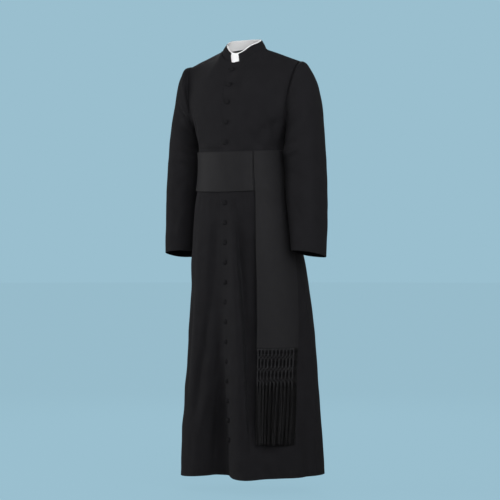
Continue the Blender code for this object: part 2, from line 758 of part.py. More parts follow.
def fall_top(across, shift):
    """The band's top edge under this part of the fall."""
    row = FALL_EDGES[0]
    angle = mix(row.inner_angle, row.outer_angle, across + shift)
    forward = 0.5 + 0.5 * math.cos(math.radians(angle))
    return mix(BAND_TOP_BACK, BAND_TOP_FRONT, forward)


def fringe_rows():
    """The heights of a fringe's rows and what parts above each, from the free ends up."""
    heights = [FALL_END - SEAM]
    parts_open = []
    for course in FRINGE_COURSES:
        heights.append(heights[-1] - course.height)
        parts_open.append(course.parts)
    net_end = heights[-1]
    for number in range(FREE_COURSES):
        heights.append(mix(net_end, FRINGE_END, (number + 1) / FREE_COURSES))
        parts_open.append("both")
    return heights[::-1], parts_open[::-1], net_end


def strand_edges(height, net_end):
    """Shares of the fringe's width at which strands and spaces meet."""
    pitch = 1.0 / BUNDLES
    below = (net_end - height) / FREE_LENGTH
    free = smooth_step((net_end - height) / STRAND_SPREAD_HEIGHT + 0.3)
    half_strand = mix(KNOTTED_STRAND, FREE_STRAND, free) * pitch / 2.0
    found = []
    for bundle in range(BUNDLES):
        for side in (-1.0, 1.0):
            centre = (bundle + 0.5 + 0.25 * side) * pitch
            centre += STRAND_SWAY * pitch * math.sin(2.3 * bundle + 1.7 * side) * free * below
            found += [centre - half_strand, centre + half_strand]
    return found


def make_fringe(name, lift, shift):
    """Knotted courses of bundles under a heading, then free strands, all one piece."""
    heights, parts_open, net_end = fringe_rows()
    rows = []
    for height in heights:
        bow = FRINGE_BOW * max(net_end - height, 0.0) / FREE_LENGTH
        rows.append([
            fall_point(across, height - bow * math.sin(math.pi * across), lift, shift)
            for across in strand_edges(height, net_end)
        ])

    def is_filled(low, left):
        """Even cells are strands, and the spaces within and between bundles take turns."""
        if left % 2 == 0:
            return True
        space = "within" if left % 4 == 1 else "between"
        return parts_open[low] not in (space, "both")

    loft(name, rows, "fringe_silk", FAILLE, is_filled=is_filled)


def make_fascia():
    make_band()
    make_fall("fascia_fall_rear", REAR_FALL_LIFT, FALL_SHIFT)
    make_fall("fascia_fall_front", FRONT_FALL_LIFT, 0.0)
    make_fringe("fringe_rear", REAR_FALL_LIFT, FALL_SHIFT)
    make_fringe("fringe_front", FRONT_FALL_LIFT, 0.0)


parts = start_scene()
make_fronts()
make_backs()
part_shoulder_seams()
make_sleeve("sleeve_left", 1.0)
make_sleeve("sleeve_right", -1.0)
make_collar()
make_buttons()
make_fascia()
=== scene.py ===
"""The looks of the cassock: each cloth piece as a thin shell on its solid's form, and its finish.

Metres in the frame's own axes: +Z up, the garment faces -Y and the wearer's left is +X. A wearer's
angle is measured about the middle of a section, in degrees: 0 at the centre front, 90 at the left
side seam, 180 at the centre back. A level is a height below the armpit, and above it the armpit's
height plus a share of the way up to the neck.
"""

import math
from collections import namedtuple

import bmesh
import bpy
import numpy as np
from mathutils import Matrix, Vector
from mathutils.bvhtree import BVHTree


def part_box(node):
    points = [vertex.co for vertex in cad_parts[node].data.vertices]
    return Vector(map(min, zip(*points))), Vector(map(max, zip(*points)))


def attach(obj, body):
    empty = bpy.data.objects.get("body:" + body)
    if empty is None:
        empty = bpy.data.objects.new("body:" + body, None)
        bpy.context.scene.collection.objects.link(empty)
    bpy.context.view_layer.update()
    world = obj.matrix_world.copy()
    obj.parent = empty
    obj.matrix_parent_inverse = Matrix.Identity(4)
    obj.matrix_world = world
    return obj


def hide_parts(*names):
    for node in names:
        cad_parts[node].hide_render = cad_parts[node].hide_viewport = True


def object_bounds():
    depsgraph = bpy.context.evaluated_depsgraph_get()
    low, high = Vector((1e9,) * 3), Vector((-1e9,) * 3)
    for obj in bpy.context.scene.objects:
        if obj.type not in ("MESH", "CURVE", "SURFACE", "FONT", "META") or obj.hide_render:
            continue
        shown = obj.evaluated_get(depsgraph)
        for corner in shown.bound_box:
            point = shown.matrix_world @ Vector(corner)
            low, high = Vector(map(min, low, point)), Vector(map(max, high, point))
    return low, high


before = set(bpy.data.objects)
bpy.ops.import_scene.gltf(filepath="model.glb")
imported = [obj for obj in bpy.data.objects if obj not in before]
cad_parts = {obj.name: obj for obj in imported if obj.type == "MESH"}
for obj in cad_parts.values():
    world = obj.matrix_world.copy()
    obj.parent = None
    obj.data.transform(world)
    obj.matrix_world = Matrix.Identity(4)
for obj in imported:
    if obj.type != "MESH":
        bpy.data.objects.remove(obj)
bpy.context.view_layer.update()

# ------------------------------------------------------------------ driving sizes, in metres
CLOTH = 0.0016                  # wall of the black wool cloth
FAILLE = 0.0014                 # wall of the fascia's ribbed silk
COLLAR_WALL = 0.0020
INSERT_WALL = 0.0010
SEAM = 0.0004                   # parting between two pieces that are sewn together
HEM_HEIGHT = -1.445
ARMPIT_HEIGHT = -0.270
LAP = 0.019
LAP_ROUNDING = 0.030
LAP_AT_NECK = -0.004
LAP_EASE = (1.05, 3.05)         # laps from the centre front between which the left front, standing
                                # proud over the right one, eases down beside its edge
LAP_HEM_SHARE = 0.25            # share of the hem's fold left on the lap, which lies on the right front

NECK_HALF_WIDTH = 0.080
NECK_FRONT = -0.074
NECK_BACK = 0.064
NECK_FRONT_HEIGHT = -0.046
NECK_SIDE_HEIGHT = 0.003
NECK_BACK_HEIGHT = 0.016
NECK_SHARE = 0.40
NECK_CORNER_REACH = 0.22
SHOULDER = (0.205, 0.008, -0.045)

COLLAR_TOP_HALF_WIDTH = 0.063
COLLAR_TOP_FRONT = -0.067
COLLAR_TOP_BACK = 0.052
COLLAR_FRONT_RISE = 0.029
COLLAR_SIDE_RISE = 0.031
COLLAR_BACK_RISE = 0.024
COLLAR_NOTCH = 0.035
COLLAR_TURN_IN = 0.003
INSERT_SHOWS = 0.0038

BUTTON_RADIUS = 0.0085
BUTTON_DOME = 0.0052

BAND_TOP_FRONT = -0.352
BAND_TOP_BACK = -0.336
BAND_BOTTOM_FRONT = -0.486
BAND_BOTTOM_BACK = -0.464
BAND_LIFT = 0.0052
REAR_FALL_LIFT = 0.0044
FRONT_FALL_LIFT = REAR_FALL_LIFT + FAILLE + 2.0 * SEAM
FALL_STEP = 0.0040
FALL_STEP_START = 0.012
FALL_STEP_HEIGHT = 0.050
FALL_END = -1.0085
FRINGE_END = -1.338
FALL_SHIFT = 1.0 / 8.0
BUNDLES = 11

SLEEVE_TURN_IN = 0.0004
SLEEVE_NECK = 0.0060
SLEEVE_INSET = 0.0010
SLEEVE_SQUARENESS = 2.5
SLEEVE_SQUARES_BY = 0.35
SLEEVE_HALF_WIDTH = 0.065
SLEEVE_ROWS = 15

# ------------------------------------------------------------------ tables of the form
Section = namedtuple("Section", "height half_width front back middle squareness")
BODY_SECTIONS = (
    Section(-0.270, 0.166, -0.134, 0.104, -0.010, 2.35),
    Section(-0.305, 0.158, -0.139, 0.096, -0.016, 2.30),
    Section(-0.345, 0.150, -0.142, 0.088, -0.020, 2.25),
    Section(-0.410, 0.149, -0.143, 0.088, -0.018, 2.25),
    Section(-0.475, 0.157, -0.143, 0.104, -0.010, 2.30),
    Section(-0.560, 0.172, -0.142, 0.140, 0.004, 2.35),
    Section(-0.640, 0.181, -0.141, 0.168, 0.018, 2.40),
    Section(-0.720, 0.191, -0.140, 0.188, 0.032, 2.40),
    Section(-0.800, 0.201, -0.138, 0.204, 0.044, 2.35),
    Section(-0.960, 0.216, -0.132, 0.222, 0.058, 2.30),
    Section(-1.155, 0.229, -0.122, 0.222, 0.056, 2.25),
    Section(-1.320, 0.238, -0.112, 0.228, 0.060, 2.20),
    Section(-1.445, 0.241, -0.108, 0.236, 0.064, 2.20),
)

Fold = namedtuple("Fold", "start top_angle hem_angle top_width hem_width swell power")
SKIRT_FOLDS = (
    Fold(-0.480, 9.0, 18.0, 6.0, 15.0, 0.046, 1.00),
    Fold(-0.480, -9.0, -13.0, 8.0, 15.0, -0.040, 0.90),
    Fold(-0.620, -48.0, -47.0, 12.0, 17.0, 0.036, 1.20),
    Fold(-0.560, -76.0, -74.0, 9.0, 12.0, -0.014, 1.10),
    Fold(-0.800, -100.0, -99.0, 9.0, 12.0, 0.024, 1.30),
    Fold(-0.640, -126.0, -124.0, 8.0, 11.0, -0.026, 1.10),
    Fold(-0.520, -150.0, -148.0, 8.0, 12.0, 0.026, 1.00),
    Fold(-0.500, -167.0, -166.0, 5.0, 8.0, -0.024, 0.95),
    Fold(-0.480, 166.0, 168.0, 5.0, 9.0, -0.020, 0.95),
    Fold(-0.520, 148.0, 151.0, 8.0, 12.0, 0.028, 1.05),
    Fold(-0.660, 124.0, 127.0, 8.0, 11.0, -0.024, 1.15),
    Fold(-0.760, 101.0, 103.0, 9.0, 12.0, 0.012, 1.30),
    Fold(-1.150, 80.0, 79.0, 5.0, 6.0, -0.010, 1.00),
)

HemDip = namedtuple("HemDip", "angle reach drop")
HEM_DIPS = (
    HemDip(-52.0, 20.0, 0.008),
    HemDip(20.0, 20.0, 0.004),
    HemDip(-148.0, 18.0, 0.005),
    HemDip(150.0, 16.0, 0.006),
)
HEM_DIP_HEIGHT = 0.10

MiddleRow = namedtuple("MiddleRow", "share front back")
MIDDLE_PROFILE = (
    MiddleRow(0.00, BODY_SECTIONS[0].front, BODY_SECTIONS[0].back),
    MiddleRow(0.35, -0.125, 0.111),
    MiddleRow(0.62, -0.111, 0.109),
    MiddleRow(0.85, -0.094, 0.090),
    MiddleRow(1.00, NECK_FRONT, NECK_BACK),
)
WIDTH_RISE = 1.6
FRONT_RISE = (2.2, 3.2)
BACK_RISE = 4.5
ARM_NEARNESS = 5
MIDDLE_NEARNESS = {False: 6, True: 3}

ArmholeRow = namedtuple("ArmholeRow", "share x front back height")
ARMHOLE = (
    ArmholeRow(0.00, 0.166, -0.010, -0.010, -0.270),
    ArmholeRow(0.12, 0.169, -0.034, 0.018, -0.262),
    ArmholeRow(0.30, 0.176, -0.053, 0.042, -0.228),
    ArmholeRow(0.55, 0.187, -0.056, 0.054, -0.168),
    ArmholeRow(0.80, 0.197, -0.037, 0.042, -0.098),
    ArmholeRow(0.93, 0.203, -0.016, 0.027, -0.060),
    ArmholeRow(1.00, SHOULDER[0], SHOULDER[1], SHOULDER[1], SHOULDER[2]),
)
ARMHOLE_MIDDLE = (0.186, 0.004, -0.157)
ARMHOLE_SHARES = (0.0, 0.14, 0.28, 0.42, 0.56, 0.70, 0.83, 0.93, 1.0)

SleeveRow = namedtuple(
    "SleeveRow", "number inner_x inner_z outer_x outer_z left_y right_y half_depth drop"
)
SLEEVE_SECTIONS = (
    SleeveRow(0, 0.1712, -0.2730, 0.2240, -0.0500, 0.003, 0.004, 0.066, 0.00),
    SleeveRow(1, 0.1722, -0.2840, 0.2480, -0.0790, 0.008, 0.012, 0.074, 0.00),
    SleeveRow(2, 0.1712, -0.3000, 0.2640, -0.1230, 0.014, 0.020, 0.082, 0.00),
    SleeveRow(3, 0.1715, -0.3250, 0.2735, -0.1850, 0.012, 0.022, 0.084, 0.00),
    SleeveRow(4, 0.1715, -0.3600, 0.2800, -0.2550, 0.010, 0.022, 0.084, 0.00),
    SleeveRow(5, 0.1720, -0.4100, 0.2860, -0.3350, 0.007, 0.020, 0.083, 0.00),
    SleeveRow(6, 0.1760, -0.4600, 0.2910, -0.4250, 0.005, 0.020, 0.082, 0.02),
    SleeveRow(7, 0.1830, -0.5300, 0.2950, -0.5150, 0.001, 0.022, 0.080, 0.06),
    SleeveRow(8, 0.1905, -0.6050, 0.2975, -0.6080, -0.005, 0.024, 0.076, 0.11),
    SleeveRow(9, 0.1985, -0.6900, 0.2990, -0.6980, -0.014, 0.020, 0.070, 0.15),
)

Crease = namedtuple("Crease", "along around reach_along reach_around swell")
SLEEVE_CREASES = (
    Crease(0.32, 120.0, 0.08, 50.0, -0.005),
    Crease(0.45, 140.0, 0.08, 50.0, 0.004),
    Crease(0.60, 100.0, 0.08, 50.0, -0.005),
    Crease(0.55, 250.0, 0.09, 50.0, -0.004),
    Crease(0.80, 75.0, 0.10, 40.0, -0.004),
)

FallRow = namedtuple("FallRow", "height inner_angle outer_angle")
FALL_EDGES = (
    FallRow(-0.340, 44.0, 92.0),
    FallRow(-0.480, 42.0, 88.0),
    FallRow(-0.600, 38.0, 81.0),
    FallRow(-0.720, 34.5, 75.0),
    FallRow(-0.960, 31.0, 66.5),
    FallRow(-1.200, 29.5, 63.0),
    FallRow(-1.345, 28.5, 60.5),
)

BUTTON_HEIGHTS_ABOVE_BAND = (-0.0730, -0.1250, -0.1840, -0.2520, -0.3210)
FIRST_BUTTON_BELOW_BAND = -0.5220
BUTTON_SPACING = 0.0665
BUTTONS_BELOW_BAND = 13
BUTTON_HEIGHTS = BUTTON_HEIGHTS_ABOVE_BAND + tuple(
    FIRST_BUTTON_BELOW_BAND - number * BUTTON_SPACING for number in range(BUTTONS_BELOW_BAND)
)

# ------------------------------------------------------------------ soft creases placed one by one
# A trough or ridge drawn over a front or back seen square on: its swell, outwards where positive,
# its half widths towards -X and +X, and the places (x, z) that it runs through.
Trough = namedtuple("Trough", "swell low_side high_side places")
FRONT_TROUGHS = (
    # right of the buttons: the sharp inner edge of the wide fold
    Trough(-0.0140, 0.0065, 0.0280, (
        (0.027, -0.490), (0.036, -0.547), (0.043, -0.597), (0.050, -0.681), (0.058, -0.747),
        (0.065, -0.814), (0.077, -0.964), (0.083, -1.113), (0.088, -1.247), (0.091, -1.400))),
    Trough(-0.0100, 0.0062, 0.0095, (
        (0.043, -0.590), (0.0505, -0.681), (0.0590, -0.747), (0.0665, -0.814), (0.0785, -0.964),
        (0.0845, -1.113), (0.0895, -1.247))),
    Trough(-0.0060, 0.0080, 0.0450, (
        (0.068, -0.860), (0.078, -0.980), (0.084, -1.110), (0.089, -1.250), (0.093, -1.400))),
    Trough(0.0044, 0.0120, 0.0100, (
        (0.026, -0.560), (0.037, -0.700), (0.046, -0.850), (0.057, -1.050), (0.064, -1.250))),
    Trough(0.0022, 0.0050, 0.0060, ((0.037, -0.512), (0.046, -0.545), (0.050, -0.572))),
    # left of the buttons: the long valley that wanders out towards the side
    Trough(-0.0070, 0.0170, 0.0190, (
        (-0.038, -0.570), (-0.043, -0.630), (-0.050, -0.721), (-0.056, -0.782), (-0.064, -0.849),
        (-0.078, -0.917), (-0.086, -0.968))),
    Trough(-0.0100, 0.0095, 0.0230, (
        (-0.076, -0.880), (-0.090, -0.950), (-0.098, -1.019), (-0.113, -1.071), (-0.122, -1.139),
        (-0.130, -1.215), (-0.134, -1.270))),
    Trough(-0.0030, 0.0065, 0.0085, (
        (-0.039, -0.975), (-0.044, -1.030), (-0.052, -1.080), (-0.060, -1.125))),
    # the deep hollow beside the lower buttons
    Trough(-0.0048, 0.0250, 0.0230, (
        (-0.036, -0.990), (-0.040, -1.100), (-0.045, -1.220), (-0.050, -1.340), (-0.052, -1.445),
        (-0.054, -1.680))),
    Trough(-0.0066, 0.0240, 0.0240, (
        (-0.046, -1.150), (-0.050, -1.250), (-0.056, -1.340), (-0.060, -1.445), (-0.064, -1.680))),
    Trough(-0.0055, 0.0250, 0.0220, (
        (-0.064, -1.150), (-0.078, -1.280), (-0.092, -1.400), (-0.098, -1.600))),
    Trough(-0.0090, 0.0150, 0.0170, (
        (-0.054, -1.190), (-0.060, -1.270), (-0.065, -1.350), (-0.070, -1.410), (-0.074, -1.600))),
    Trough(-0.0036, 0.0080, 0.0130, (
        (-0.034, -1.093), (-0.044, -1.140), (-0.055, -1.185), (-0.058, -1.235), (-0.065, -1.291),
        (-0.069, -1.359), (-0.074, -1.430))),
    Trough(0.0024, 0.0150, 0.0120, (
        (-0.064, -1.090), (-0.086, -1.170), (-0.104, -1.240), (-0.120, -1.330), (-0.134, -1.430))),
    # the far left column and its neighbour
    Trough(0.0040, 0.0140, 0.0160, (
        (-0.104, -0.560), (-0.118, -0.760), (-0.128, -0.960), (-0.150, -1.200))),
    Trough(-0.0036, 0.0120, 0.0110, ((-0.140, -0.820), (-0.158, -1.010), (-0.172, -1.230))),
    # from the left armpit: a drape that bulges out, then turns in under its own edge
    Trough(0.0040, 0.0240, 0.0240, (
        (0.150, -0.212), (0.136, -0.226), (0.118, -0.240), (0.100, -0.262), (0.090, -0.300))),
    Trough(-0.0070, 0.0120, 0.0080, ((0.158, -0.236), (0.150, -0.266), (0.150, -0.300), (0.147, -0.352))),
    Trough(-0.0035, 0.0160, 0.0120, ((0.134, -0.262), (0.118, -0.286), (0.106, -0.318), (0.102, -0.352))),
    # from the right armpit
    Trough(-0.0055, 0.0090, 0.0120, (
        (-0.150, -0.226), (-0.143, -0.262), (-0.142, -0.300), (-0.140, -0.352))),
    Trough(0.0028, 0.0150, 0.0150, ((-0.138, -0.216), (-0.122, -0.244), (-0.110, -0.290))),
    # the outer line beyond the right hip, drawn in above and let out at the hem
    Trough(-0.0062, 0.0320, 0.0320, (
        (-0.160, -0.720), (-0.172, -0.860), (-0.186, -1.020), (-0.196, -1.160))),
    Trough(0.0075, 0.0320, 0.0320, (
        (-0.204, -1.200), (-0.213, -1.320), (-0.220, -1.445), (-0.224, -1.640))),
    # beside and behind the falls
    Trough(-0.0115, 0.0280, 0.0400, (
        (0.097, -0.540), (0.100, -0.640), (0.108, -0.800), (0.116, -0.960), (0.122, -1.120),
        (0.126, -1.300), (0.128, -1.420))),
    Trough(-0.0050, 0.0120, 0.0140, ((0.206, -0.900), (0.214, -1.060), (0.220, -1.200))),
    Trough(-0.0042, 0.0080, 0.0120, ((0.219, -1.220), (0.224, -1.300), (0.222, -1.370), (0.224, -1.440))),
    Trough(0.0030, 0.0200, 0.0160, ((0.120, -1.370), (0.140, -1.400), (0.150, -1.445), (0.152, -1.500))),
)
BACK_TROUGHS = (
    Trough(-0.0085, 0.0180, 0.0095, (
        (0.046, -0.480), (0.054, -0.600), (0.060, -0.760), (0.072, -0.930), (0.078, -1.120),
        (0.080, -1.300))),
    Trough(-0.0090, 0.0100, 0.0190, (
        (-0.050, -0.480), (-0.060, -0.620), (-0.070, -0.800), (-0.078, -1.000), (-0.090, -1.200),
        (-0.094, -1.380))),
    Trough(-0.0060, 0.0110, 0.0120, (
        (0.006, -0.560), (0.002, -0.720), (-0.006, -0.900), (-0.004, -1.100))),
    Trough(-0.0070, 0.0110, 0.0160, ((0.120, -0.620), (0.138, -0.800), (0.146, -1.000), (0.150, -1.180))),
    Trough(-0.0066, 0.0160, 0.0110, (
        (-0.128, -0.660), (-0.142, -0.860), (-0.150, -1.040), (-0.158, -1.220))),
    Trough(0.0040, 0.0140, 0.0140, ((0.024, -0.520), (0.030, -0.720), (0.034, -0.980), (0.034, -1.240))),
    Trough(0.0036, 0.0140, 0.0140, (
        (-0.030, -0.540), (-0.036, -0.760), (-0.040, -1.020), (-0.046, -1.300))),
    Trough(-0.0052, 0.0080, 0.0110, ((0.040, -1.080), (0.044, -1.200), (0.040, -1.320), (0.044, -1.430))),
    Trough(-0.0048, 0.0100, 0.0080, ((-0.014, -1.120), (-0.022, -1.240), (-0.024, -1.400))),
    Trough(-0.0050, 0.0090, 0.0120, ((0.156, -0.222), (0.146, -0.258), (0.142, -0.334))),
    Trough(-0.0050, 0.0120, 0.0090, ((-0.155, -0.224), (-0.144, -0.262), (-0.142, -0.334))),
    Trough(-0.0034, 0.0120, 0.0120, ((0.112, -0.236), (0.086, -0.272), (0.070, -0.330))),
    Trough(-0.0030, 0.0120, 0.0120, ((-0.108, -0.228), (-0.088, -0.266), (-0.078, -0.330))),
)

TROUGH_FADE = (0.22, 0.0)       # share of a trough's run over which each end dies out, down to 0
TROUGH_TURN = 0.004             # width over which a trough's one half width passes into the other

# A smaller line, with its two ends, how far its middle bows sideways, half its width and its swell.
Line = namedtuple("Line", "x0 z0 x1 z1 bow width swell")
FRONT_LINES = (
    # from the collar's foot across the collarbones
    Line(0.040, -0.062, 0.078, -0.100, 0.004, 0.019, -0.0034),
    Line(-0.038, -0.066, -0.082, -0.104, -0.004, 0.015, -0.0018),
    Line(0.092, -0.060, 0.150, -0.118, 0.008, 0.018, -0.0016),
    Line(-0.096, -0.062, -0.152, -0.124, -0.008, 0.018, -0.0016),
    # the chest's soft drags
    Line(0.030, -0.196, 0.100, -0.214, 0.006, 0.014, -0.0012),
    Line(-0.034, -0.168, -0.098, -0.196, -0.006, 0.015, -0.0010),
    Line(0.040, -0.110, 0.064, -0.150, -0.004, 0.011, -0.0009),
    Line(0.062, -0.172, 0.140, -0.178, 0.004, 0.010, -0.0009),
    Line(0.024, -0.286, 0.070, -0.306, 0.004, 0.012, -0.0010),
    Line(-0.030, -0.296, -0.082, -0.312, -0.004, 0.012, -0.0010),
    # rucked cloth that rests on the band's upper edge
    Line(-0.118, -0.332, 0.026, -0.337, 0.0010, 0.0042, 0.0015),
    Line(-0.112, -0.341, 0.030, -0.346, 0.0008, 0.0040, -0.0014),
    Line(0.060, -0.334, 0.126, -0.336, -0.0012, 0.0050, 0.0012),
    # below the band: small gathers where the cloth leaves it
    Line(-0.104, -0.492, -0.112, -0.560, 0.003, 0.007, -0.0020),
    Line(-0.076, -0.494, -0.079, -0.586, -0.003, 0.008, -0.0016),
    Line(-0.048, -0.492, -0.052, -0.548, 0.002, 0.006, -0.0012),
    Line(0.074, -0.492, 0.080, -0.600, 0.003, 0.008, -0.0022),
    Line(0.092, -0.492, 0.100, -0.620, 0.004, 0.009, -0.0018),
    # the skirt's narrow creases
    Line(0.104, -0.780, 0.108, -1.080, 0.004, 0.010, -0.0026),
    Line(0.008, -0.640, 0.012, -0.900, 0.002, 0.011, -0.0014),
    Line(0.064, -1.120, 0.070, -1.410, 0.003, 0.009, -0.0016),
    Line(-0.112, -1.290, -0.120, -1.430, -0.003, 0.010, -0.0020),
    Line(-0.004, -1.180, -0.010, -1.400, 0.002, 0.006, -0.0020),
    Line(-0.146, -1.300, -0.150, -1.440, -0.003, 0.009, -0.0020),
)
BACK_LINES = (
    # from the armpits and the shoulder blades
    Line(0.158, -0.226, 0.094, -0.318, -0.006, 0.012, -0.0036),
    Line(0.150, -0.262, 0.112, -0.330, -0.004, 0.012, 0.0022),
    Line(-0.160, -0.222, -0.098, -0.312, 0.006, 0.012, -0.0034),
    Line(-0.150, -0.260, -0.106, -0.328, 0.004, 0.012, 0.0020),
    Line(0.070, -0.070, 0.128, -0.118, -0.006, 0.018, -0.0014),
    Line(-0.074, -0.068, -0.124, -0.122, 0.006, 0.018, -0.0016),
    Line(0.034, -0.236, 0.020, -0.322, 0.004, 0.012, -0.0018),
    Line(-0.040, -0.228, -0.026, -0.326, -0.004, 0.013, -0.0016),
    Line(0.068, -0.280, 0.058, -0.330, 0.002, 0.009, -0.0014),
    Line(-0.072, -0.276, -0.062, -0.330, -0.002, 0.009, -0.0014),
    # below the band: gathers of the full back
    Line(0.112, -0.474, 0.124, -0.585, 0.003, 0.008, -0.0026),
    Line(0.078, -0.472, 0.086, -0.640, -0.003, 0.008, -0.0030),
    Line(0.028, -0.472, 0.030, -0.580, 0.003, 0.006, -0.0020),
    Line(-0.026, -0.472, -0.029, -0.600, -0.003, 0.007, -0.0022),
    Line(-0.082, -0.472, -0.092, -0.660, 0.003, 0.009, -0.0028),
    Line(-0.116, -0.474, -0.128, -0.570, -0.003, 0.007, -0.0024),
    # the skirt's narrow creases behind
    Line(0.136, -0.720, 0.160, -1.060, 0.005, 0.011, -0.0032),
    Line(0.092, -0.900, 0.104, -1.240, -0.005, 0.010, -0.0030),
    Line(0.030, -0.760, 0.034, -1.060, 0.004, 0.009, -0.0024),
    Line(-0.034, -0.820, -0.038, -1.180, -0.005, 0.010, -0.0026),
    Line(-0.098, -0.780, -0.112, -1.120, 0.005, 0.010, -0.0034),
    Line(-0.146, -0.860, -0.168, -1.260, -0.004, 0.012, -0.0028),
    Line(0.060, -1.180, 0.066, -1.420, 0.003, 0.012, -0.0024),
    Line(-0.070, -1.220, -0.074, -1.420, -0.003, 0.012, -0.0022),
)
LINE_FADES = ((0.35, 0.15), (0.45, 0.10))
LINE_WIDENING = 0.5             # how much wider a line is at its far end
SIDE_FADE = 7.0                 # degrees from a side seam over which troughs and lines die out

# The cloth's unevenness, as waves: height in metres, turns across and up in radians a metre, and a
# bend that shifts each wave along.
Ripple = namedtuple("Ripple", "height across up phase bend bend_across bend_up bend_phase")
RIPPLES = (
    Ripple(0.00045, 41.0, 9.0, 1.3, 0.0, 0.0, 0.0, 0.0),
    Ripple(0.00040, 63.0, -23.0, 0.4, 1.5, 0.0, 11.0, 0.0),
    Ripple(0.00030, 17.0, 57.0, 2.1, 1.2, 19.0, 0.0, 0.0),
    Ripple(0.00022, 97.0, 41.0, 0.0, 2.0, 0.0, 27.0, 1.0),
)
RIPPLE_DEPTH = 0.7              # how much a step backwards counts beside one to the left

PUCKER_DEPTH = 0.0016
PUCKER_WIDTH = 0.020
PUCKER_HEIGHT = 0.007

BAND_SMOOTHS = 0.012            # how far past the band's edges the cloth is drawn smooth
FALL_SMOOTHS = 5.0              # degrees inside the falls' edges over which it becomes smooth
FRINGE_SMOOTHS = 0.02

# A soft crease of a sleeve, drawn from one place to another: places along it (0 at its head, 1 at
# the cuff) and around it (degrees from the outer line towards the front), half its width in
# metres, and its swell.
SleeveLine = namedtuple("SleeveLine", "along0 around0 along1 around1 width swell")
LEFT_SLEEVE_LINES = (
    SleeveLine(0.10, 118.0, 0.26, 62.0, 0.011, -0.0030),
    SleeveLine(0.16, 150.0, 0.33, 98.0, 0.011, -0.0026),
    SleeveLine(0.30, 168.0, 0.44, 104.0, 0.010, -0.0030),
    SleeveLine(0.40, 150.0, 0.50, 66.0, 0.011, -0.0030),
    SleeveLine(0.49, 160.0, 0.56, 70.0, 0.010, -0.0028),
    SleeveLine(0.45, 140.0, 0.53, 84.0, 0.010, 0.0022),
    SleeveLine(0.58, 142.0, 0.70, 58.0, 0.011, -0.0022),
    SleeveLine(0.72, 120.0, 0.90, 70.0, 0.012, -0.0018),
    SleeveLine(0.08, 240.0, 0.26, 292.0, 0.012, -0.0030),
    SleeveLine(0.20, 215.0, 0.38, 268.0, 0.012, -0.0026),
    SleeveLine(0.42, 208.0, 0.54, 286.0, 0.011, -0.0028),
    SleeveLine(0.52, 200.0, 0.62, 276.0, 0.011, -0.0026),
    SleeveLine(0.66, 215.0, 0.86, 280.0, 0.013, -0.0020),
    SleeveLine(0.60, 20.0, 0.95, 28.0, 0.014, -0.0014),
)
RIGHT_SLEEVE_LINES = (
    SleeveLine(0.09, 124.0, 0.24, 66.0, 0.011, -0.0032),
    SleeveLine(0.18, 156.0, 0.36, 92.0, 0.012, -0.0028),
    SleeveLine(0.33, 164.0, 0.45, 96.0, 0.010, -0.0030),
    SleeveLine(0.43, 156.0, 0.52, 72.0, 0.011, -0.0032),
    SleeveLine(0.52, 152.0, 0.60, 60.0, 0.010, -0.0026),
    SleeveLine(0.62, 138.0, 0.76, 66.0, 0.012, -0.0022),
    SleeveLine(0.78, 116.0, 0.94, 76.0, 0.012, -0.0016),
    SleeveLine(0.10, 236.0, 0.30, 296.0, 0.012, -0.0030),
    SleeveLine(0.26, 212.0, 0.42, 270.0, 0.012, -0.0026),
    SleeveLine(0.44, 204.0, 0.55, 282.0, 0.011, -0.0030),
    SleeveLine(0.56, 206.0, 0.68, 268.0, 0.011, -0.0022),
    SleeveLine(0.70, 214.0, 0.92, 274.0, 0.013, -0.0018),
)

# A broad soft change of a sleeve's fullness, about one place on it.
Fullness = namedtuple("Fullness", "along around reach_along reach_around swell")
LEFT_FULLNESS = (
    Fullness(0.20, 333.0, 0.15, 62.0, -0.0066),
    Fullness(0.46, 333.0, 0.15, 60.0, -0.0026),
    Fullness(0.36, 152.0, 0.17, 42.0, 0.0085),
    Fullness(0.74, 150.0, 0.17, 40.0, 0.0070),
)
RIGHT_FULLNESS = (
    Fullness(0.27, 27.0, 0.17, 62.0, -0.0098),
    Fullness(0.86, 27.0, 0.24, 60.0, 0.0046),
)

WAIST_DRAW = 0.0080             # how much further the band draws the waist in under the right arm
WAIST_DRAW_ANGLE = -92.0
WAIST_DRAW_REACH = 32.0
WAIST_DRAW_AT = -0.425
WAIST_DRAW_HEIGHT = 0.085

# ------------------------------------------------------------------ fineness of the shells
PANEL_COLUMNS = 108
SKIRT_STEP = 0.0080             # height between a skirt panel's rows
WAIST_STEP = 0.0035             # the same between the armpit and the band, where small creases lie
CHEST_STEPS = 46
SLEEVE_FINE_COLUMNS = 96
SLEEVE_FINE_ROWS = 118
COLLAR_FINE_COLUMNS = 150
BAND_FINE_COLUMNS = 360
FALL_FINE_COLUMNS = 44
FALL_FINE_ROWS = 120
EASE_REACH = 0.10               # height past the armpit, both ways, over which the surface is eased
EASE_ROUNDS = 10
PROBE_RISE = 0.004              # steps, upwards and in degrees, that tell a surface's normal
PROBE_TURN = 0.5
FOLD_THICKNESS = 0.0010         # what a turned-up edge adds on the inside
FOLD_EASE = 0.003


# ------------------------------------------------------------------ sizes of the fine pieces
TOP_LEVEL = ARMPIT_HEIGHT + 1.0     # the level of the panels' top edge
SEAM_ANGLE = math.degrees(SEAM / 2.0 / BODY_SECTIONS[0].half_width)
HEM_ROWS = (0.0, 0.0012, 0.004)     # heights above the hem of the rows that roll its edge
EDGE_ROW = 0.004                # the same at the top, as a level, and below the band's top edge
ROW_MARGIN = 0.002              # how far rows of one spacing stay from those of the next
PANEL_EDGE = 0.0025             # share of a panel's width where its edge rolls
# shares of the way across the lap where the fronts' first columns lie
LAP_SHARES = (0.0, 0.04, 0.12, 0.24, 0.38, 0.52, 0.66, 0.80, 0.92)
LAP_PROBE = 3.0                 # degrees from the centre front at which the way round is measured
SHOULDER_EASE = 0.06            # levels below the top edge over which the shoulder parts
NECK_EASE = 0.006
HEM_TURN = 0.034

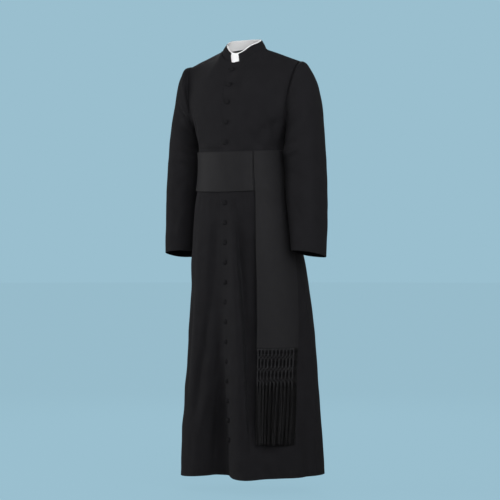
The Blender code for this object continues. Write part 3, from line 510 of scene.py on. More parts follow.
Seam = namedtuple("Seam", "angle way behind")
BACKS = (
    ("back_left", 90.0, 180.0, (Seam(90.0, -1.0, False), Seam(180.0, 1.0, True))),
    ("back_right", 180.0, 270.0, (Seam(-90.0, 1.0, False),)),
)
ALLOWANCE_ANGLES = (0.0, 0.3, 0.9, 1.5)         # degrees past a seam where its allowance is laid
ALLOWANCE_DROPS = (0.020, 0.012, 0.004, 0.0)    # the same down from the shoulder seam, as levels
ALLOWANCE_STUBS = (0.1, 0.2)    # where a row has no allowance, its two columns' places past the edge
ALLOWANCE_GAP = 0.0003          # how far an allowance stays below the panel that covers it
ALLOWANCE_FROM_NECK = 0.001
ALLOWANCE_EASE = 0.004
ALLOWANCE_START = 0.012         # height below the armpit over which a side's allowance begins

CUFF_TURN = 0.030
HEAD_EASE = 0.0012              # how far the sleeve's head is let out, so that the seam closes
HEAD_PLACES = (0.0, 0.25, 0.5, 0.75)    # the head's rows, from the armhole's first ring to its second
HEAD_SMOOTHS = 0.06             # share of the sleeve's length over which its creases begin
CUFF_PLACE = 0.03               # how far above the cuff its second row lies, as a share of a ring's step
SLEEVE_FLAT = (0.60, 0.42 / 360.0)      # metres of a sleeve's whole length, and of one degree round it
SLEEVE_FADE = (0.4, 0.1)
SLEEVE_RIPPLE = 0.8
SLEEVE_RIPPLE_SCALE = 1.35

COLLAR_DIP = 0.0085             # how far the top edge dips before it rises to the side
COLLAR_DIP_AT = 75.0
COLLAR_DIP_REACH = 21.0
COLLAR_CORNER = 0.0030          # radius of the collar's upper corners at the notch
COLLAR_PLUMP = 0.0003           # how much thicker the collar is half way up
COLLAR_EDGE = 0.5               # degrees from the notch where the collar's ends roll
COLLAR_ROW = 0.35               # share of the height below which the collar turns in
COLLAR_SHARES = (0.0, 0.02, 0.08, 0.16, 0.25, 0.35, 0.46, 0.58, 0.70, 0.80, 0.88, 0.94, 0.98, 1.0)
NOTCH_LEAN_REACH = 40.0         # degrees from each end over which its lean dies out
NOTCH_LEANS = ((1.0, 4.0), (4.5, -10.5))    # degrees each end leans, at the foot and at the top

BUTTON_RINGS = 14
BUTTON_SIDES = 40
BUTTON_WRAP = 128.0             # degrees from the dome's top to the edge gathered under the button
BUTTON_RIM = 0.36               # the rim's share of the dome's height
BUTTON_DRAW = 0.42              # how strongly the cloth draws in under the rim
BUTTON_PLEATS = 9               # soft gathers of the cloth under the button's rim
BUTTON_GATHER = 0.035           # how deep they are at the lower edge, as a share of the radius
BUTTONHOLE_LENGTH = 0.021
BUTTONHOLE_WIDTH = 0.0022
BUTTONHOLE_OFFSET = -0.0055
BUTTONHOLE_POWER = 0.35         # squares the ends of the oval that the stitching follows
STITCH_RADIUS = 0.00055
STITCH_PROUD = 0.35             # share of its radius that the stitching's middle stands proud
STITCH_POINTS = 30
STITCH_ROUND = 0.003            # the stitching's width on its flat map
STITCH_ALONG = 0.006            # and its length there for each radian

# Waves of the silk: height in metres, turns across and up in radians, phase, and the seed's share.
Wave = namedtuple("Wave", "height across up phase seeded")
BAND_WAVES = (
    Wave(0.0005, 5.0, 0.0, 0.7, 0.0),
    Wave(0.0004, 11.0, 3.0, 1.1, 0.0),
    Wave(0.0003, 3.0, 9.0, 0.0, 0.0),
)
FALL_WAVES = (
    Wave(0.000189, 9.0, 31.0, 0.0, 1.0),
    Wave(0.000147, 4.0, -14.0, 0.0, 2.0),
)
BAND_EDGE = (0.0, 0.012, 0.03)  # shares of the band's height with rows near its edges
BAND_ROWS = (0.06, 0.94, 23)    # the first, the last and the count of the rows between
BAND_CLEAR = 0.0002             # what the waves need beside the band's lift to stay off the cloth
BAND_COVERED = (40.0, 98.0)     # degrees between which the falls cover the band, which is smooth there
BAND_COVERED_EASE = 3.0
BAND_DENT = 0.0034              # how far the falls' weight draws the band in beside them
BAND_DENT_AT = 0.6
BAND_DENT_REACH = 1.3
BAND_PRINT = 0.0009             # how far the falls sink below the band's lower edge
BAND_PRINT_BELOW = 0.004
BAND_PRINT_WIDTH = 0.006
Fall = namedtuple("Fall", "name lift shift seed")
FALLS = (
    Fall("fascia_fall_rear", REAR_FALL_LIFT, FALL_SHIFT, 1.0),
    Fall("fascia_fall_front", FRONT_FALL_LIFT, 0.0, 2.3),
)
FALL_EDGE_ACROSS = 0.012        # shares of a fall's width and height where its edges roll
FALL_EDGE_UP = 0.002

CORD_RADIUS = 0.00098
CORD_SIDES = 5
CORD_ROUND = 0.006              # a cord's width on its flat map
CORD_COLUMNS = (-1.0, 0.0, 1.0)
CORD_LAYER = 0.0009             # how far each of the two layers lies from the middle
# The fringe's cords carry painted shade: the deeper a point lies in the fringe, and on its cord's inner
# side, the darker it is painted.
CORD_BEHIND = -0.0016           # places, out from the middle, of the deepest painted shade and the lightest painted cord
CORD_BEFORE = 0.0020
CORD_TONE = 0.0013              # how far one cord's tone strays from the next, as such a place
NET_TONE = 0.0006               # the net's cords are painted lighter, a painted sheen, and the free ones darker, as such places
NET_TONE_PAST = 0.002           # how far past the net's last level its painted sheen reaches
FREE_TONE = -0.0015
HEADING_ROWS = ((0.0010, 0.0009), (0.0028, 0.0010), (0.0046, 0.0009))   # how far down, and radius
HEADING_EDGE = 0.004
HEADING_POINTS = 70
HEADING_WOBBLE = 0.00020
HEADING_STAGGER = 1.6
HEADING_LAYER = 0.3             # the layers' share of their distance where they leave the heading
NET_STEPS = (0.005, 0.014, 0.022, 0.018, 0.021, 0.018, 0.019)
NET_KEYS = (                    # the net's level at each key place of a cord, and the rise from it
    (0, -0.0006), (1, -0.0010), (2, -0.0015), (3, 0.0030), (4, -0.0015), (5, 0.0030), (6, -0.0015),
    (7, 0.0030), (7, -0.0010),
)
OPEN_STEPS = (2, 4, 6)          # steps between key places where the net is open
OPEN_POINTS = 9                 # points of a cord over an open step, and over another
CLOSE_POINTS = 4
PLAIT = 0.0004                  # how far out and in a cord goes as it crosses its neighbours
NET_THINNESS = 0.84             # a cord's radius in the net and at its end, beside that of its free part
END_THINNESS = 0.7
RING_RADIUS = 0.00075
RING_POINTS = 14
RING_RISES = (-0.0008, 0.0018)  # a ring's height above an even and an odd level
RING_TILT = 0.0008              # how far one side of a ring rises, and how far that varies
RING_TILTS = 0.0010
RING_STRAY = 0.0005
RING_WIDER = 0.13               # how far a ring reaches past the outer cords, as a share of the pitch
RING_DEPTH = 0.0021
# spacing is the distance between a bundle's cords and reach its free width, as shares of its pitch;
# stand is how far a fringe stands out past its fall.
Fringe = namedtuple("Fringe", "name fall seed finish spacing reach stand")
FRINGES = (
    # the rear fringe takes the rear cord's finish, which is painted darker as shade
    Fringe("fringe_rear", FALLS[0], 5, "rear_cord", 0.28, (0.90, 1.00), 0.0),
    Fringe("fringe_front", FALLS[1], 11, "cord", 0.125, (0.40, 0.80), 0.0034),
)
FRINGE_MARGIN = 0.008           # share of the fall's width that every cord keeps from its edges
FRINGE_BOW = 0.004              # how much longer the free cords hang in the middle than at the sides
STAND_START = 0.004             # height above the heading where a fringe begins to stand out
STAND_EASE = 0.016              # and the height over which it does
FREE_LENGTH = 0.200
FREE_POINTS = 24
FREE_SWAY = 0.035               # how far a free cord sways sideways, as a share of a bundle's pitch
FREE_WAVER = 0.0004             # and how far out
BUNDLE_DRIFT = 0.24             # how far a bundle's lower end drifts, and each cord of it, as such shares
CORD_DRIFT = 0.05
BUNDLE_ENDS = (-0.001, 0.004)   # lengths by which a bundle, and each cord of it, ends higher
CORD_ENDS = (0.0, 0.003)
CORD_OUTS = (-0.0006, 0.0008)   # how far in or out a free cord hangs
CORD_THICKNESSES = (0.90, 1.06)
COLUMN_REACH = 0.4              # shares of a free bundle's reach between its columns and its layers
LAYER_REACH = 0.2


# ------------------------------------------------------------------ small helpers
def smooth_step(value):
    """0 up to 0, 1 from 1 on, and an even S between them."""
    value = np.clip(value, 0.0, 1.0)
    return value * value * (3.0 - 2.0 * value)


def window(value, low, high, soft):
    """1 well inside a range and 0 outside it, with a soft margin at each end."""
    return smooth_step((value - low) / soft) * smooth_step((high - value) / soft)


def faded(share, first, last):
    """Dies out at both ends of a run. Each pair is the fade's reach and what is left at the end."""
    return smooth_step(share / first[0] + first[1]) * smooth_step((1.0 - share) / last[0] + last[1])


def bell(value):
    """1 at 0, and dying out smoothly to both sides."""
    return np.exp(-(value**2))


def mix(first, second, share):
    return first + (second - first) * share


def spaced(count, edge):
    """Even shares from 0 to 1, and one more this near each end, where the cloth's edge rolls."""
    return np.concatenate([[0.0, edge], np.linspace(0.0, 1.0, count)[1:-1], [1.0 - edge, 1.0]])


def unit(vectors):
    return vectors / np.maximum(np.linalg.norm(vectors, axis=-1, keepdims=True), 1e-12)


def around(angle, centre):
    """The signed way round from one wearer's angle to another."""
    return (angle - centre + 180.0) % 360.0 - 180.0


def hermite(share, first, first_slope, second, second_slope):
    """A smooth curve from one value to another, with these slopes at its ends."""
    square = share * share
    cube = square * share
    return (
        (2 * cube - 3 * square + 1) * first
        + (cube - 2 * square + share) * first_slope
        + (3 * square - 2 * cube) * second
        + (cube - square) * second_slope
    )


def reader(rows, key):
    """A function that reads a table's columns at values of its key column, on smooth curves."""
    rows = sorted(rows, key=lambda row: getattr(row, key))
    keys = np.array([getattr(row, key) for row in rows], float)
    table = np.array(rows, float)
    last = len(keys) - 1
    above = np.minimum(np.arange(last + 1) + 1, last)
    below = np.maximum(np.arange(last + 1) - 1, 0)
    slopes = (table[above] - table[below]) / (keys[above] - keys[below])[:, None]

    def read(at):
        at = np.clip(np.asarray(at, float), keys[0], keys[-1])
        index = np.clip(np.searchsorted(keys, at) - 1, 0, last - 1)
        span = (keys[index + 1] - keys[index])[..., None]
        share = (at - keys[index])[..., None] / span
        following = index + 1
        slope = span * slopes[index]
        found = hermite(share, table[index], slope, table[following], span * slopes[following])
        return type(rows[0])(*np.moveaxis(found, -1, 0))

    return read


read_body = reader(BODY_SECTIONS, "height")
read_middle = reader(MIDDLE_PROFILE, "share")
read_armhole = reader(ARMHOLE, "share")
read_sleeve = reader(SLEEVE_SECTIONS, "number")
read_falls = reader(FALL_EDGES, "height")


# ------------------------------------------------------------------ the body's surface
def oval_radius(turn, half_width, depth, squareness):
    """The radius of an oval at a turn. It is an ellipse at squareness 2, and squarer above that."""
    total = (np.abs(np.sin(turn)) / half_width) ** squareness
    total = total + (np.abs(np.cos(turn)) / depth) ** squareness
    return total ** (-1.0 / squareness)


def fold_swell(angle, height):
    """How far the skirt's large folds push it out."""
    total = np.zeros(np.broadcast(angle, height).shape)
    for fold in SKIRT_FOLDS:
        share = np.maximum((fold.start - height) / (fold.start - HEM_HEIGHT), 0.0)
        centre = mix(fold.top_angle, fold.hem_angle, share)
        width = mix(fold.top_width, fold.hem_width, share)
        total += fold.swell * share**fold.power * bell(around(angle, centre) / width)
    return total


def hem_dip(angle):
    return sum(dip.drop * bell(around(angle, dip.angle) / dip.reach) for dip in HEM_DIPS)


def waist_draw(angle, height):
    """How far the fascia draws the waist in under the right arm, more than in the solids."""
    beside = bell(around(angle, WAIST_DRAW_ANGLE) / WAIST_DRAW_REACH)
    return WAIST_DRAW * beside * bell((height - WAIST_DRAW_AT) / WAIST_DRAW_HEIGHT)


def section_points(angle, height):
    """Points of the body's inner face below the armpit."""
    row = read_body(height)
    turn = np.radians(angle)
    depth = np.where(np.cos(turn) > 0.0, row.middle - row.front, row.back - row.middle)
    radius = oval_radius(turn, row.half_width, depth, row.squareness)
    radius = radius + fold_swell(angle, height) - waist_draw(angle, height)
    low = smooth_step((HEM_HEIGHT + HEM_DIP_HEIGHT - height) / HEM_DIP_HEIGHT)
    x = radius * np.sin(turn)
    y = row.middle - radius * np.cos(turn)
    return np.stack(np.broadcast_arrays(x, y, height - low * hem_dip(angle)), -1)


def neck_points(degrees, half_width=NECK_HALF_WIDTH, front=NECK_FRONT, back=NECK_BACK):
    """Points of the neckline: 0 at the centre front, 90 at the left side, 180 at the back."""
    turn = np.radians(degrees)
    forward = np.cos(turn)
    depth = np.where(forward > 0.0, -front, back)
    end_height = np.where(forward > 0.0, NECK_FRONT_HEIGHT, NECK_BACK_HEIGHT)
    height = mix(NECK_SIDE_HEIGHT, end_height, forward * forward)
    return np.stack([half_width * np.sin(turn), -depth * forward, height], -1)


def top_edge_points(share, behind):
    """The panels' top edge: neckline for the first part of the half, then the shoulder seam."""
    turn = 90.0 * share / NECK_SHARE
    neck = neck_points(180.0 - turn if behind else turn)
    along = ((share - NECK_SHARE) / (1.0 - NECK_SHARE))[..., None]
    shoulder = mix(neck_points(np.array(90.0)), np.array(SHOULDER), along)
    return np.where((share <= NECK_SHARE)[..., None], neck, shoulder)


def chest_column(across, share, behind):
    """Points that ease from the armpit's section to the top edge, whose corner is rounded."""
    angle = 180.0 - 90.0 * across if behind else 90.0 * across
    ring = section_points(angle, np.full_like(across, ARMPIT_HEIGHT))
    reach = NECK_CORNER_REACH * np.sqrt(1.0 - share)
    near = [top_edge_points(across + reach * part, behind) for part in (-1.0, -0.5, 0.0, 0.5, 1.0)]
    top = sum(near) / len(near)
    depth_rise = BACK_RISE if behind else mix(*FRONT_RISE, smooth_step(across / NECK_SHARE))
    rises = np.stack(np.broadcast_arrays(share**WIDTH_RISE, share**depth_rise, share), -1)
    return mix(ring, top, rises)


def chest_points(angle, share, behind):
    """Points of the inner face above the armpit, share of the way to the top edge."""
    angle, share = np.broadcast_arrays(np.asarray(angle, float), np.asarray(share, float))
    angle = around(angle, 0.0)
    side = np.where(angle < 0.0, -1.0, 1.0)
    across = (180.0 - np.abs(angle)) / 90.0 if behind else np.abs(angle) / 90.0
    point = chest_column(across, share, behind)
    arm = read_armhole(share)
    arm_edge = np.stack([arm.x, arm.back if behind else arm.front, arm.height], -1)
    near_arm = across[..., None] ** ARM_NEARNESS
    point = point + (arm_edge - chest_column(np.ones_like(across), share, behind)) * near_arm
    near_middle = (1.0 - across * across) ** MIDDLE_NEARNESS[behind]
    profile = read_middle(share)
    middle_y = profile.back if behind else profile.front
    at_middle = chest_column(np.zeros_like(across), share, behind)[..., 1]
    point[..., 1] += (middle_y - at_middle) * near_middle
    point[..., 0] *= side
    return point


def panel_points(angle, level, behind):
    """Points of a panel's inner face, before any fine crease. Levels run along the first axis."""
    angle, level = np.broadcast_arrays(np.asarray(angle, float), np.asarray(level, float))
    low = section_points(angle, np.minimum(level, ARMPIT_HEIGHT))
    if not (level > ARMPIT_HEIGHT).any():
        return low
    high = chest_points(angle, np.clip(level - ARMPIT_HEIGHT, 0.0, 1.0), behind)
    return np.where((level > ARMPIT_HEIGHT)[..., None], high, low)


def normals_of(grid, closed=False):
    """Unit normals of a grid of points: rows run up, columns towards the wearer's left."""
    if closed:
        along = np.roll(grid, -1, axis=1) - np.roll(grid, 1, axis=1)
    else:
        along = np.gradient(grid, axis=1)
    return unit(np.cross(along, np.gradient(grid, axis=0)))


def band_edges(angle):
    """Heights of the fascia band's lower and upper edge, which rise towards the back."""
    forward = 0.5 + 0.5 * np.cos(np.radians(angle))
    return (
        mix(BAND_BOTTOM_BACK, BAND_BOTTOM_FRONT, forward),
        mix(BAND_TOP_BACK, BAND_TOP_FRONT, forward),
    )


# ------------------------------------------------------------------ creases
def trough_swell(points, troughs):
    """How far the drawn troughs and ridges push a panel out, read at its points seen square on."""
    total = np.zeros(points.shape[:-1])
    for trough in troughs:
        places = np.array(trough.places)
        lengths = np.linalg.norm(np.diff(places, axis=0), axis=1)
        starts = np.concatenate([[0.0], np.cumsum(lengths)])
        nearest = np.full(total.shape, np.inf)
        share = np.zeros(total.shape)
        aside = np.zeros(total.shape)
        for number, length in enumerate(lengths):
            run = (places[number + 1] - places[number]) / length
            dx = points[..., 0] - places[number, 0]
            dz = points[..., 2] - places[number, 1]
            along = np.clip(dx * run[0] + dz * run[1], 0.0, length)
            gap_x = dx - along * run[0]
            gap = np.hypot(gap_x, dz - along * run[1])
            closer = gap < nearest
            nearest = np.where(closer, gap, nearest)
            share = np.where(closer, (starts[number] + along) / starts[-1], share)
            aside = np.where(closer, gap_x, aside)
        turn = smooth_step(aside / TROUGH_TURN + 0.5)
        width = mix(trough.low_side, trough.high_side, turn)
        total += trough.swell * faded(share, TROUGH_FADE, TROUGH_FADE) * bell(nearest / width)
    return total


def along_line(start, end, across, up):
    """Places seen flat, told by a line: their share of the way along it, and how far beside it."""
    run = np.subtract(end, start)
    length = np.hypot(*run)
    run = run / length
    across = across - start[0]
    up = up - start[1]
    return (across * run[0] + up * run[1]) / length, up * run[0] - across * run[1]


def line_swell(points, lines):
    """How far the listed lines push a panel out, read at its points seen square on."""
    total = np.zeros(points.shape[:-1])
    for line in lines:
        share, beside = along_line((line.x0, line.z0), (line.x1, line.z1), points[..., 0], points[..., 2])
        within = np.clip(share, 0.0, 1.0)
        beside = beside - line.bow * np.sin(math.pi * within)
        width = line.width * (1.0 + LINE_WIDENING * within)
        total += line.swell * faded(share, *LINE_FADES) * bell(beside / width)
    return total


def ripple(points):
    """The small unevenness of hanging cloth, a fraction of a millimetre high."""
    across = points[..., 0] + RIPPLE_DEPTH * points[..., 1]
    up = points[..., 2]
    total = 0.0
    for row in RIPPLES:
        bend = row.bend * np.sin(row.bend_across * across + row.bend_up * up + row.bend_phase)
        total = total + row.height * np.sin(row.across * across + row.up * up + row.phase + bend)
    return total


def pucker(points):
    """The cloth dips a little about each button, more sideways than up and down."""
    total = np.zeros(points.shape[:-1])
    for height in BUTTON_HEIGHTS:
        near = bell(points[..., 0] / PUCKER_WIDTH) * bell((points[..., 2] - height) / PUCKER_HEIGHT)
        total -= PUCKER_DEPTH * near
    return total * (points[..., 1] < 0.0)


def under_fascia(angle, height):
    """1 where the band or the falls cover the cloth, which lies smooth there, and 0 elsewhere."""
    low, high = band_edges(angle)
    band = window(height, low - BAND_SMOOTHS, high + BAND_SMOOTHS, BAND_SMOOTHS)
    row = read_falls(height)
    outer = mix(row.inner_angle, row.outer_angle, 1.0 + FALL_SHIFT)
    falls = window(angle, row.inner_angle, outer, FALL_SMOOTHS) * (height < high)
    falls = falls * smooth_step((height - FRINGE_END) / FRINGE_SMOOTHS + 1.0)
    return np.maximum(band, falls)


def crease_swell(points, angle, behind):
    """Every fine crease of a panel, as one swell along its normal."""
    near_seam = smooth_step(np.abs(90.0 - np.abs(around(angle, 0.0))) / SIDE_FADE)
    swell = line_swell(points, BACK_LINES if behind else FRONT_LINES)
    swell = swell + trough_swell(points, BACK_TROUGHS if behind else FRONT_TROUGHS)
    swell = swell * near_seam + ripple(points) + pucker(points)
    return swell * (1.0 - under_fascia(around(angle, 0.0), points[..., 2]))


def ease_rows(grid, level):
    """The grid with the slight bend rounded where the chest's surface meets the skirt's."""
    near = np.abs(level[1:-1, 0] - ARMPIT_HEIGHT) < EASE_REACH
    for _ in range(EASE_ROUNDS):
        eased = (grid[:-2] + 2.0 * grid[1:-1] + grid[2:]) / 4.0
        grid[1:-1] = np.where(near[:, None, None], eased, grid[1:-1])
    return grid


def body_surface(angle, level, behind):
    """Points and normals of a panel's inner face, creases and all."""
    base = ease_rows(panel_points(angle, level, behind), level)
    grid = base + normals_of(base) * crease_swell(base, angle, behind)[..., None]
    return grid, normals_of(grid)


def lifted(angle, height, lift):
    """Points of the body's plain surface below the armpit, moved out along its normal."""
    upward = section_points(angle, np.minimum(height + PROBE_RISE, ARMPIT_HEIGHT))
    upward = upward - section_points(angle, np.maximum(height - PROBE_RISE, HEM_HEIGHT))
    sideways = section_points(angle + PROBE_TURN, height) - section_points(angle - PROBE_TURN, height)
    normal = unit(np.cross(sideways, upward))
    return section_points(angle, height) + normal * np.asarray(lift)[..., None], normal


# ------------------------------------------------------------------ meshes
def add_piece(name, mesh, finish, *nodes):
    """A visible piece that stands for its CAD nodes and rides with the part's one body."""
    mesh.materials.append(FINISHES[finish])
    mesh.shade_smooth()
    piece = bpy.data.objects.new(name, mesh)
    bpy.context.scene.collection.objects.link(piece)
    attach(piece, "root")
    if nodes:
        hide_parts(*nodes)
    return piece


def cloth_mesh(name, points, faces, flat, places=None):
    """A mesh with its map "Cloth", in metres on the flat cloth.

    flat holds a place for each point, or else for each number that places gives face by face.
    """
    mesh = bpy.data.meshes.new(name)
    mesh.from_pydata(np.asarray(points).tolist(), [], faces)
    corners = [corner for face in (places or faces) for corner in face]
    layer = mesh.uv_layers.new(name="Cloth")
    layer.uv.foreach_set("vector", np.asarray(flat, np.float32)[corners].ravel())
    return mesh


def face_outwards(mesh):
    tidy = bmesh.new()
    tidy.from_mesh(mesh)
    bmesh.ops.recalc_face_normals(tidy, faces=tidy.faces)
    if tidy.calc_volume(signed=True) < 0.0:
        bmesh.ops.reverse_faces(tidy, faces=tidy.faces)
    tidy.to_mesh(mesh)
    tidy.free()


def cloth_places(grid, closed):
    """Each point's place on the flat cloth: across it from its middle column, and up it.

    On a closed cloth each row holds one place more, where it meets its first again.
    """
    across = np.zeros(grid.shape[:2])
    across[:, 1:] = np.cumsum(np.linalg.norm(np.diff(grid, axis=1), axis=-1), axis=1)
    across -= across[:, grid.shape[1] // 2][:, None]
    if closed:
        step = np.linalg.norm(grid[:, 0] - grid[:, -1], axis=-1)
        across = np.concatenate([across, (across[:, -1] + step)[:, None]], axis=1)
    rise = np.linalg.norm(np.diff(grid, axis=0), axis=-1).mean(axis=1)
    up = np.concatenate([[0.0], np.cumsum(rise)])
    return np.stack(np.broadcast_arrays(across, up[:, None]), -1)


def edge_ways(grid, closed):
    """At each point of a free edge the way outwards in the cloth's plane, and 0 elsewhere."""
    ways = np.zeros(grid.shape)
    ways[0] = grid[0] - grid[1]
    ways[-1] = grid[-1] - grid[-2]
    if not closed:
        ways[:, 0] += grid[:, 0] - grid[:, 1]
        ways[:, -1] += grid[:, -1] - grid[:, -2]
    return unit(ways)


def free_edges(rows, columns, closed):
    """The places (row, column) along each free edge of a cloth, in order round it."""
    first = [(0, column) for column in range(columns)]
    last = [(rows - 1, column) for column in reversed(range(columns))]
    if closed:
        return [first, last]
    right = [(row, columns - 1) for row in range(rows - 1)]
    left = [(row, 0) for row in range(rows - 1, 0, -1)]
    return [first[:-1] + right + last[:-1] + left]


def shell_mesh(name, grid, normals, wall, closed=False, turned=0.0):
    """Cloth of a wall thickness on a grid, with rolled edges. turned thickens it on the inside."""
    rows, columns = grid.shape[:2]
    wall = np.broadcast_to(wall, (rows, columns))[..., None]
    turned = np.broadcast_to(turned, (rows, columns))[..., None]
    rolled = edge_ways(grid, closed) * (wall / 2.0)
    outer = grid + normals * wall - rolled
    inner = grid - normals * turned - rolled
    middle = grid + normals * ((wall - turned) / 2.0)

    flat = cloth_places(grid, closed)
    width = flat.shape[1]
    layer = rows * columns
    faces = []
    places = []
    for row in range(rows - 1):
        for column in range(width - 1):
            quad = [(row, column), (row, column + 1), (row + 1, column + 1), (row + 1, column)]
            corners = [up * columns + across % columns for up, across in quad]
            place = [up * width + across for up, across in quad]
            faces += [corners, [corner + layer for corner in corners[::-1]]]
            places += [place, place[::-1]]
    rim = []
    for edge in free_edges(rows, columns, closed):
        start = 2 * layer + len(rim)
        rim += [middle[at] for at in edge]
        for number, (row, column) in enumerate(edge):
            ahead = (number + 1) % len(edge)
            next_row, next_column = edge[ahead]
            here = row * columns + column
            there = next_row * columns + next_column
            faces.append([here, start + number, start + ahead, there])
            faces.append([start + number, here + layer, there + layer, start + ahead])
            place = [row * width + column] * 2 + [next_row * width + next_column] * 2
            places += [place, place]
    points = np.concatenate([outer.reshape(-1, 3), inner.reshape(-1, 3), rim])
    mesh = cloth_mesh(name, points, faces, flat.reshape(-1, 2), places)
    face_outwards(mesh)
    return mesh


def turn_ups(from_edge, width):
    """The extra thickness of an edge that is folded back inside by a width."""
    return FOLD_THICKNESS * smooth_step((width - from_edge) / FOLD_EASE + 0.5)


# ------------------------------------------------------------------ panels
def fine_levels():
    """The levels of a panel's rows, closer together at the hem, above the band and at the top."""
    steps = round((ARMPIT_HEIGHT - HEM_HEIGHT) / SKIRT_STEP)
    hem = HEM_HEIGHT + np.array(HEM_ROWS)
    skirt = np.linspace(HEM_HEIGHT, ARMPIT_HEIGHT, steps + 1)[1:-1]
    skirt = skirt[skirt < BAND_TOP_FRONT - EDGE_ROW - ROW_MARGIN]
    waist = np.arange(BAND_TOP_FRONT - EDGE_ROW, ARMPIT_HEIGHT - ROW_MARGIN, WAIST_STEP)
    chest = ARMPIT_HEIGHT + np.linspace(0.0, 1.0, CHEST_STEPS + 1)
    return np.sort(np.concatenate([hem, skirt, waist, chest, [TOP_LEVEL - EDGE_ROW]]))


def lap_angles(levels, lap):
    """The angles that lie a lap past the centre front at each level."""
    reach = panel_points(np.full(len(levels), LAP_PROBE), levels, False)[:, 0] / LAP_PROBE
    return lap / reach


def upper_laps(levels):
    """How far the left front laps over at each level: its corner is rounded off below the neck."""
    heights = panel_points(np.zeros(len(levels)), levels, False)[:, 2]
    below = np.where(levels > ARMPIT_HEIGHT, heights[-1] - heights, LAP_ROUNDING)
    return mix(LAP_AT_NECK, LAP, np.sqrt(smooth_step(below / LAP_ROUNDING)))


def front_columns(edge, lap):
    """Angles of a front's columns at each level: closer together across the lap."""
    across_lap = mix(edge[:, None], lap[:, None], np.array(LAP_SHARES))
    rest = np.delete(spaced(PANEL_COLUMNS - len(LAP_SHARES), PANEL_EDGE), 1)
    return np.concatenate([across_lap, mix(lap[:, None], 90.0 - SEAM_ANGLE, rest)], axis=1)


def part_shoulder(grid, levels, behind):
    """Fronts and backs meet at the shoulder, so each stands back by half a seam."""
    near_top = smooth_step((levels - TOP_LEVEL) / SHOULDER_EASE + 1.0)[:, None]
    past_neck = smooth_step((np.abs(grid[..., 0]) - NECK_HALF_WIDTH) / NECK_EASE + 2.0)
    grid[..., 1] += (SEAM if behind else -SEAM) * near_top * past_neck


def make_fronts():
    levels = fine_levels()
    lap = lap_angles(levels, LAP)
    level_grid = np.repeat(levels[:, None], PANEL_COLUMNS + 1, axis=1)
    turned = turn_ups(level_grid - HEM_HEIGHT, HEM_TURN)
    left_angles = front_columns(-lap_angles(levels, upper_laps(levels)), lap)
    right_angles = -front_columns(-lap, lap)[:, ::-1]
    laps = left_angles / lap[:, None]
    proud = (CLOTH + SEAM) * (1.0 - smooth_step((laps - LAP_EASE[0]) / (LAP_EASE[1] - LAP_EASE[0])))
    thinned = turned * mix(LAP_HEM_SHARE, 1.0, smooth_step(laps - 1.0))
    fronts = []
    for name, angles, lift, extra in (
        ("front_left", left_angles, proud, thinned),
        ("front_right", right_angles, np.zeros_like(laps), turned),
    ):
        grid, normals = body_surface(angles, level_grid, False)
        grid = grid + normals * lift[..., None]
        part_shoulder(grid, levels, False)
        mesh = shell_mesh(name + "_cloth", grid, normals_of(grid), CLOTH, turned=extra)
        fronts.append(add_piece(name + "_cloth", mesh, "wool", name))
    return fronts


def with_allowance(grid, normals, covered, cover_normals, depth, share, at_end):
    """The grid with two more columns, which lie behind the piece sewn to its last or first one.

    covered are points of that piece's inner face, depth is how far below them the columns lie, and
    share is how much of the allowance each row has: at 0 the edge stays as it was.
    """
    edge, beside = (-1, -2) if at_end else (0, 1)
    stubs = np.array(ALLOWANCE_STUBS if at_end else ALLOWANCE_STUBS[::-1])[:, None]
    stub = grid[:, edge][:, None] + (grid[:, edge] - grid[:, beside])[:, None] * stubs
    whole = share[:, None, None]
    added = mix(stub, covered - cover_normals * depth[:, None, None], whole)
    added_normals = unit(mix(normals[:, edge][:, None], cover_normals, whole))
    grid = grid.copy()
    grid[:, edge] -= normals[:, edge] * (0.5 * depth * share)[:, None]
    order = 1 if at_end else -1
    return (
        np.concatenate([grid, added][::order], axis=1),
        np.concatenate([normals, added_normals][::order], axis=1),
    )


def shoulder_allowance(grid, normals, angles):
    """A back's allowance behind the front along the shoulder seam."""
    level_grid = np.repeat(TOP_LEVEL - np.array(ALLOWANCE_DROPS)[:, None], grid.shape[1], axis=1)
    front_angles = np.broadcast_to(-around(angles[-1], 180.0)[::-1], level_grid.shape)
    covered, _ = body_surface(front_angles, level_grid, False)
    part_shoulder(covered, level_grid[:, 0], False)
    cover_normals = normals_of(covered)
    covered, cover_normals = (rows[[2, 0], ::-1].transpose(1, 0, 2) for rows in (covered, cover_normals))
    past_neck = np.abs(grid[-1, :, 0]) - NECK_HALF_WIDTH - ALLOWANCE_FROM_NECK
    share = smooth_step(past_neck / ALLOWANCE_EASE)
    depth = np.full(grid.shape[1], CLOTH + ALLOWANCE_GAP)
    grid, normals = with_allowance(
        grid.transpose(1, 0, 2), normals.transpose(1, 0, 2), covered, cover_normals, depth, share, True
    )
    return grid.transpose(1, 0, 2), normals.transpose(1, 0, 2)


def row_levels(levels, count):
    """Each row's level, where a grid has a few rows past the top one."""
    return np.concatenate([levels, np.full(count - len(levels), levels[-1])])


def side_allowance(grid, normals, levels, hem, seam):
    """A back's allowance behind the panel next to it along a seam that runs down."""
    at_end = seam.way > 0.0
    angles = np.sort(seam.angle + seam.way * np.array(ALLOWANCE_ANGLES))
    level_grid = np.repeat(levels[:, None], len(angles), axis=1)
    covered, _ = body_surface(np.broadcast_to(angles, level_grid.shape), level_grid, seam.behind)
    part_shoulder(covered, levels, seam.behind)
    keep = [1, 3] if at_end else [0, 2]
    cover_normals = normals_of(covered)[:, keep]
    covered = covered[:, keep]
    edge = grid[len(levels) - 1 :, -1 if at_end else 0]
    past = covered[-1] + (edge[1:] - edge[0])[:, None]
    covered = np.concatenate([covered, past])
    cover_normals = np.concatenate([cover_normals, np.repeat(cover_normals[-1:], len(past), axis=0)])
    share = np.ones(len(grid))
    if not seam.behind:
        below_arm = ARMPIT_HEIGHT - ROW_MARGIN - row_levels(levels, len(grid))
        share = smooth_step(below_arm / ALLOWANCE_START)
    depth = CLOTH + ALLOWANCE_GAP + hem
    return with_allowance(grid, normals, covered, cover_normals, depth, share, at_end)


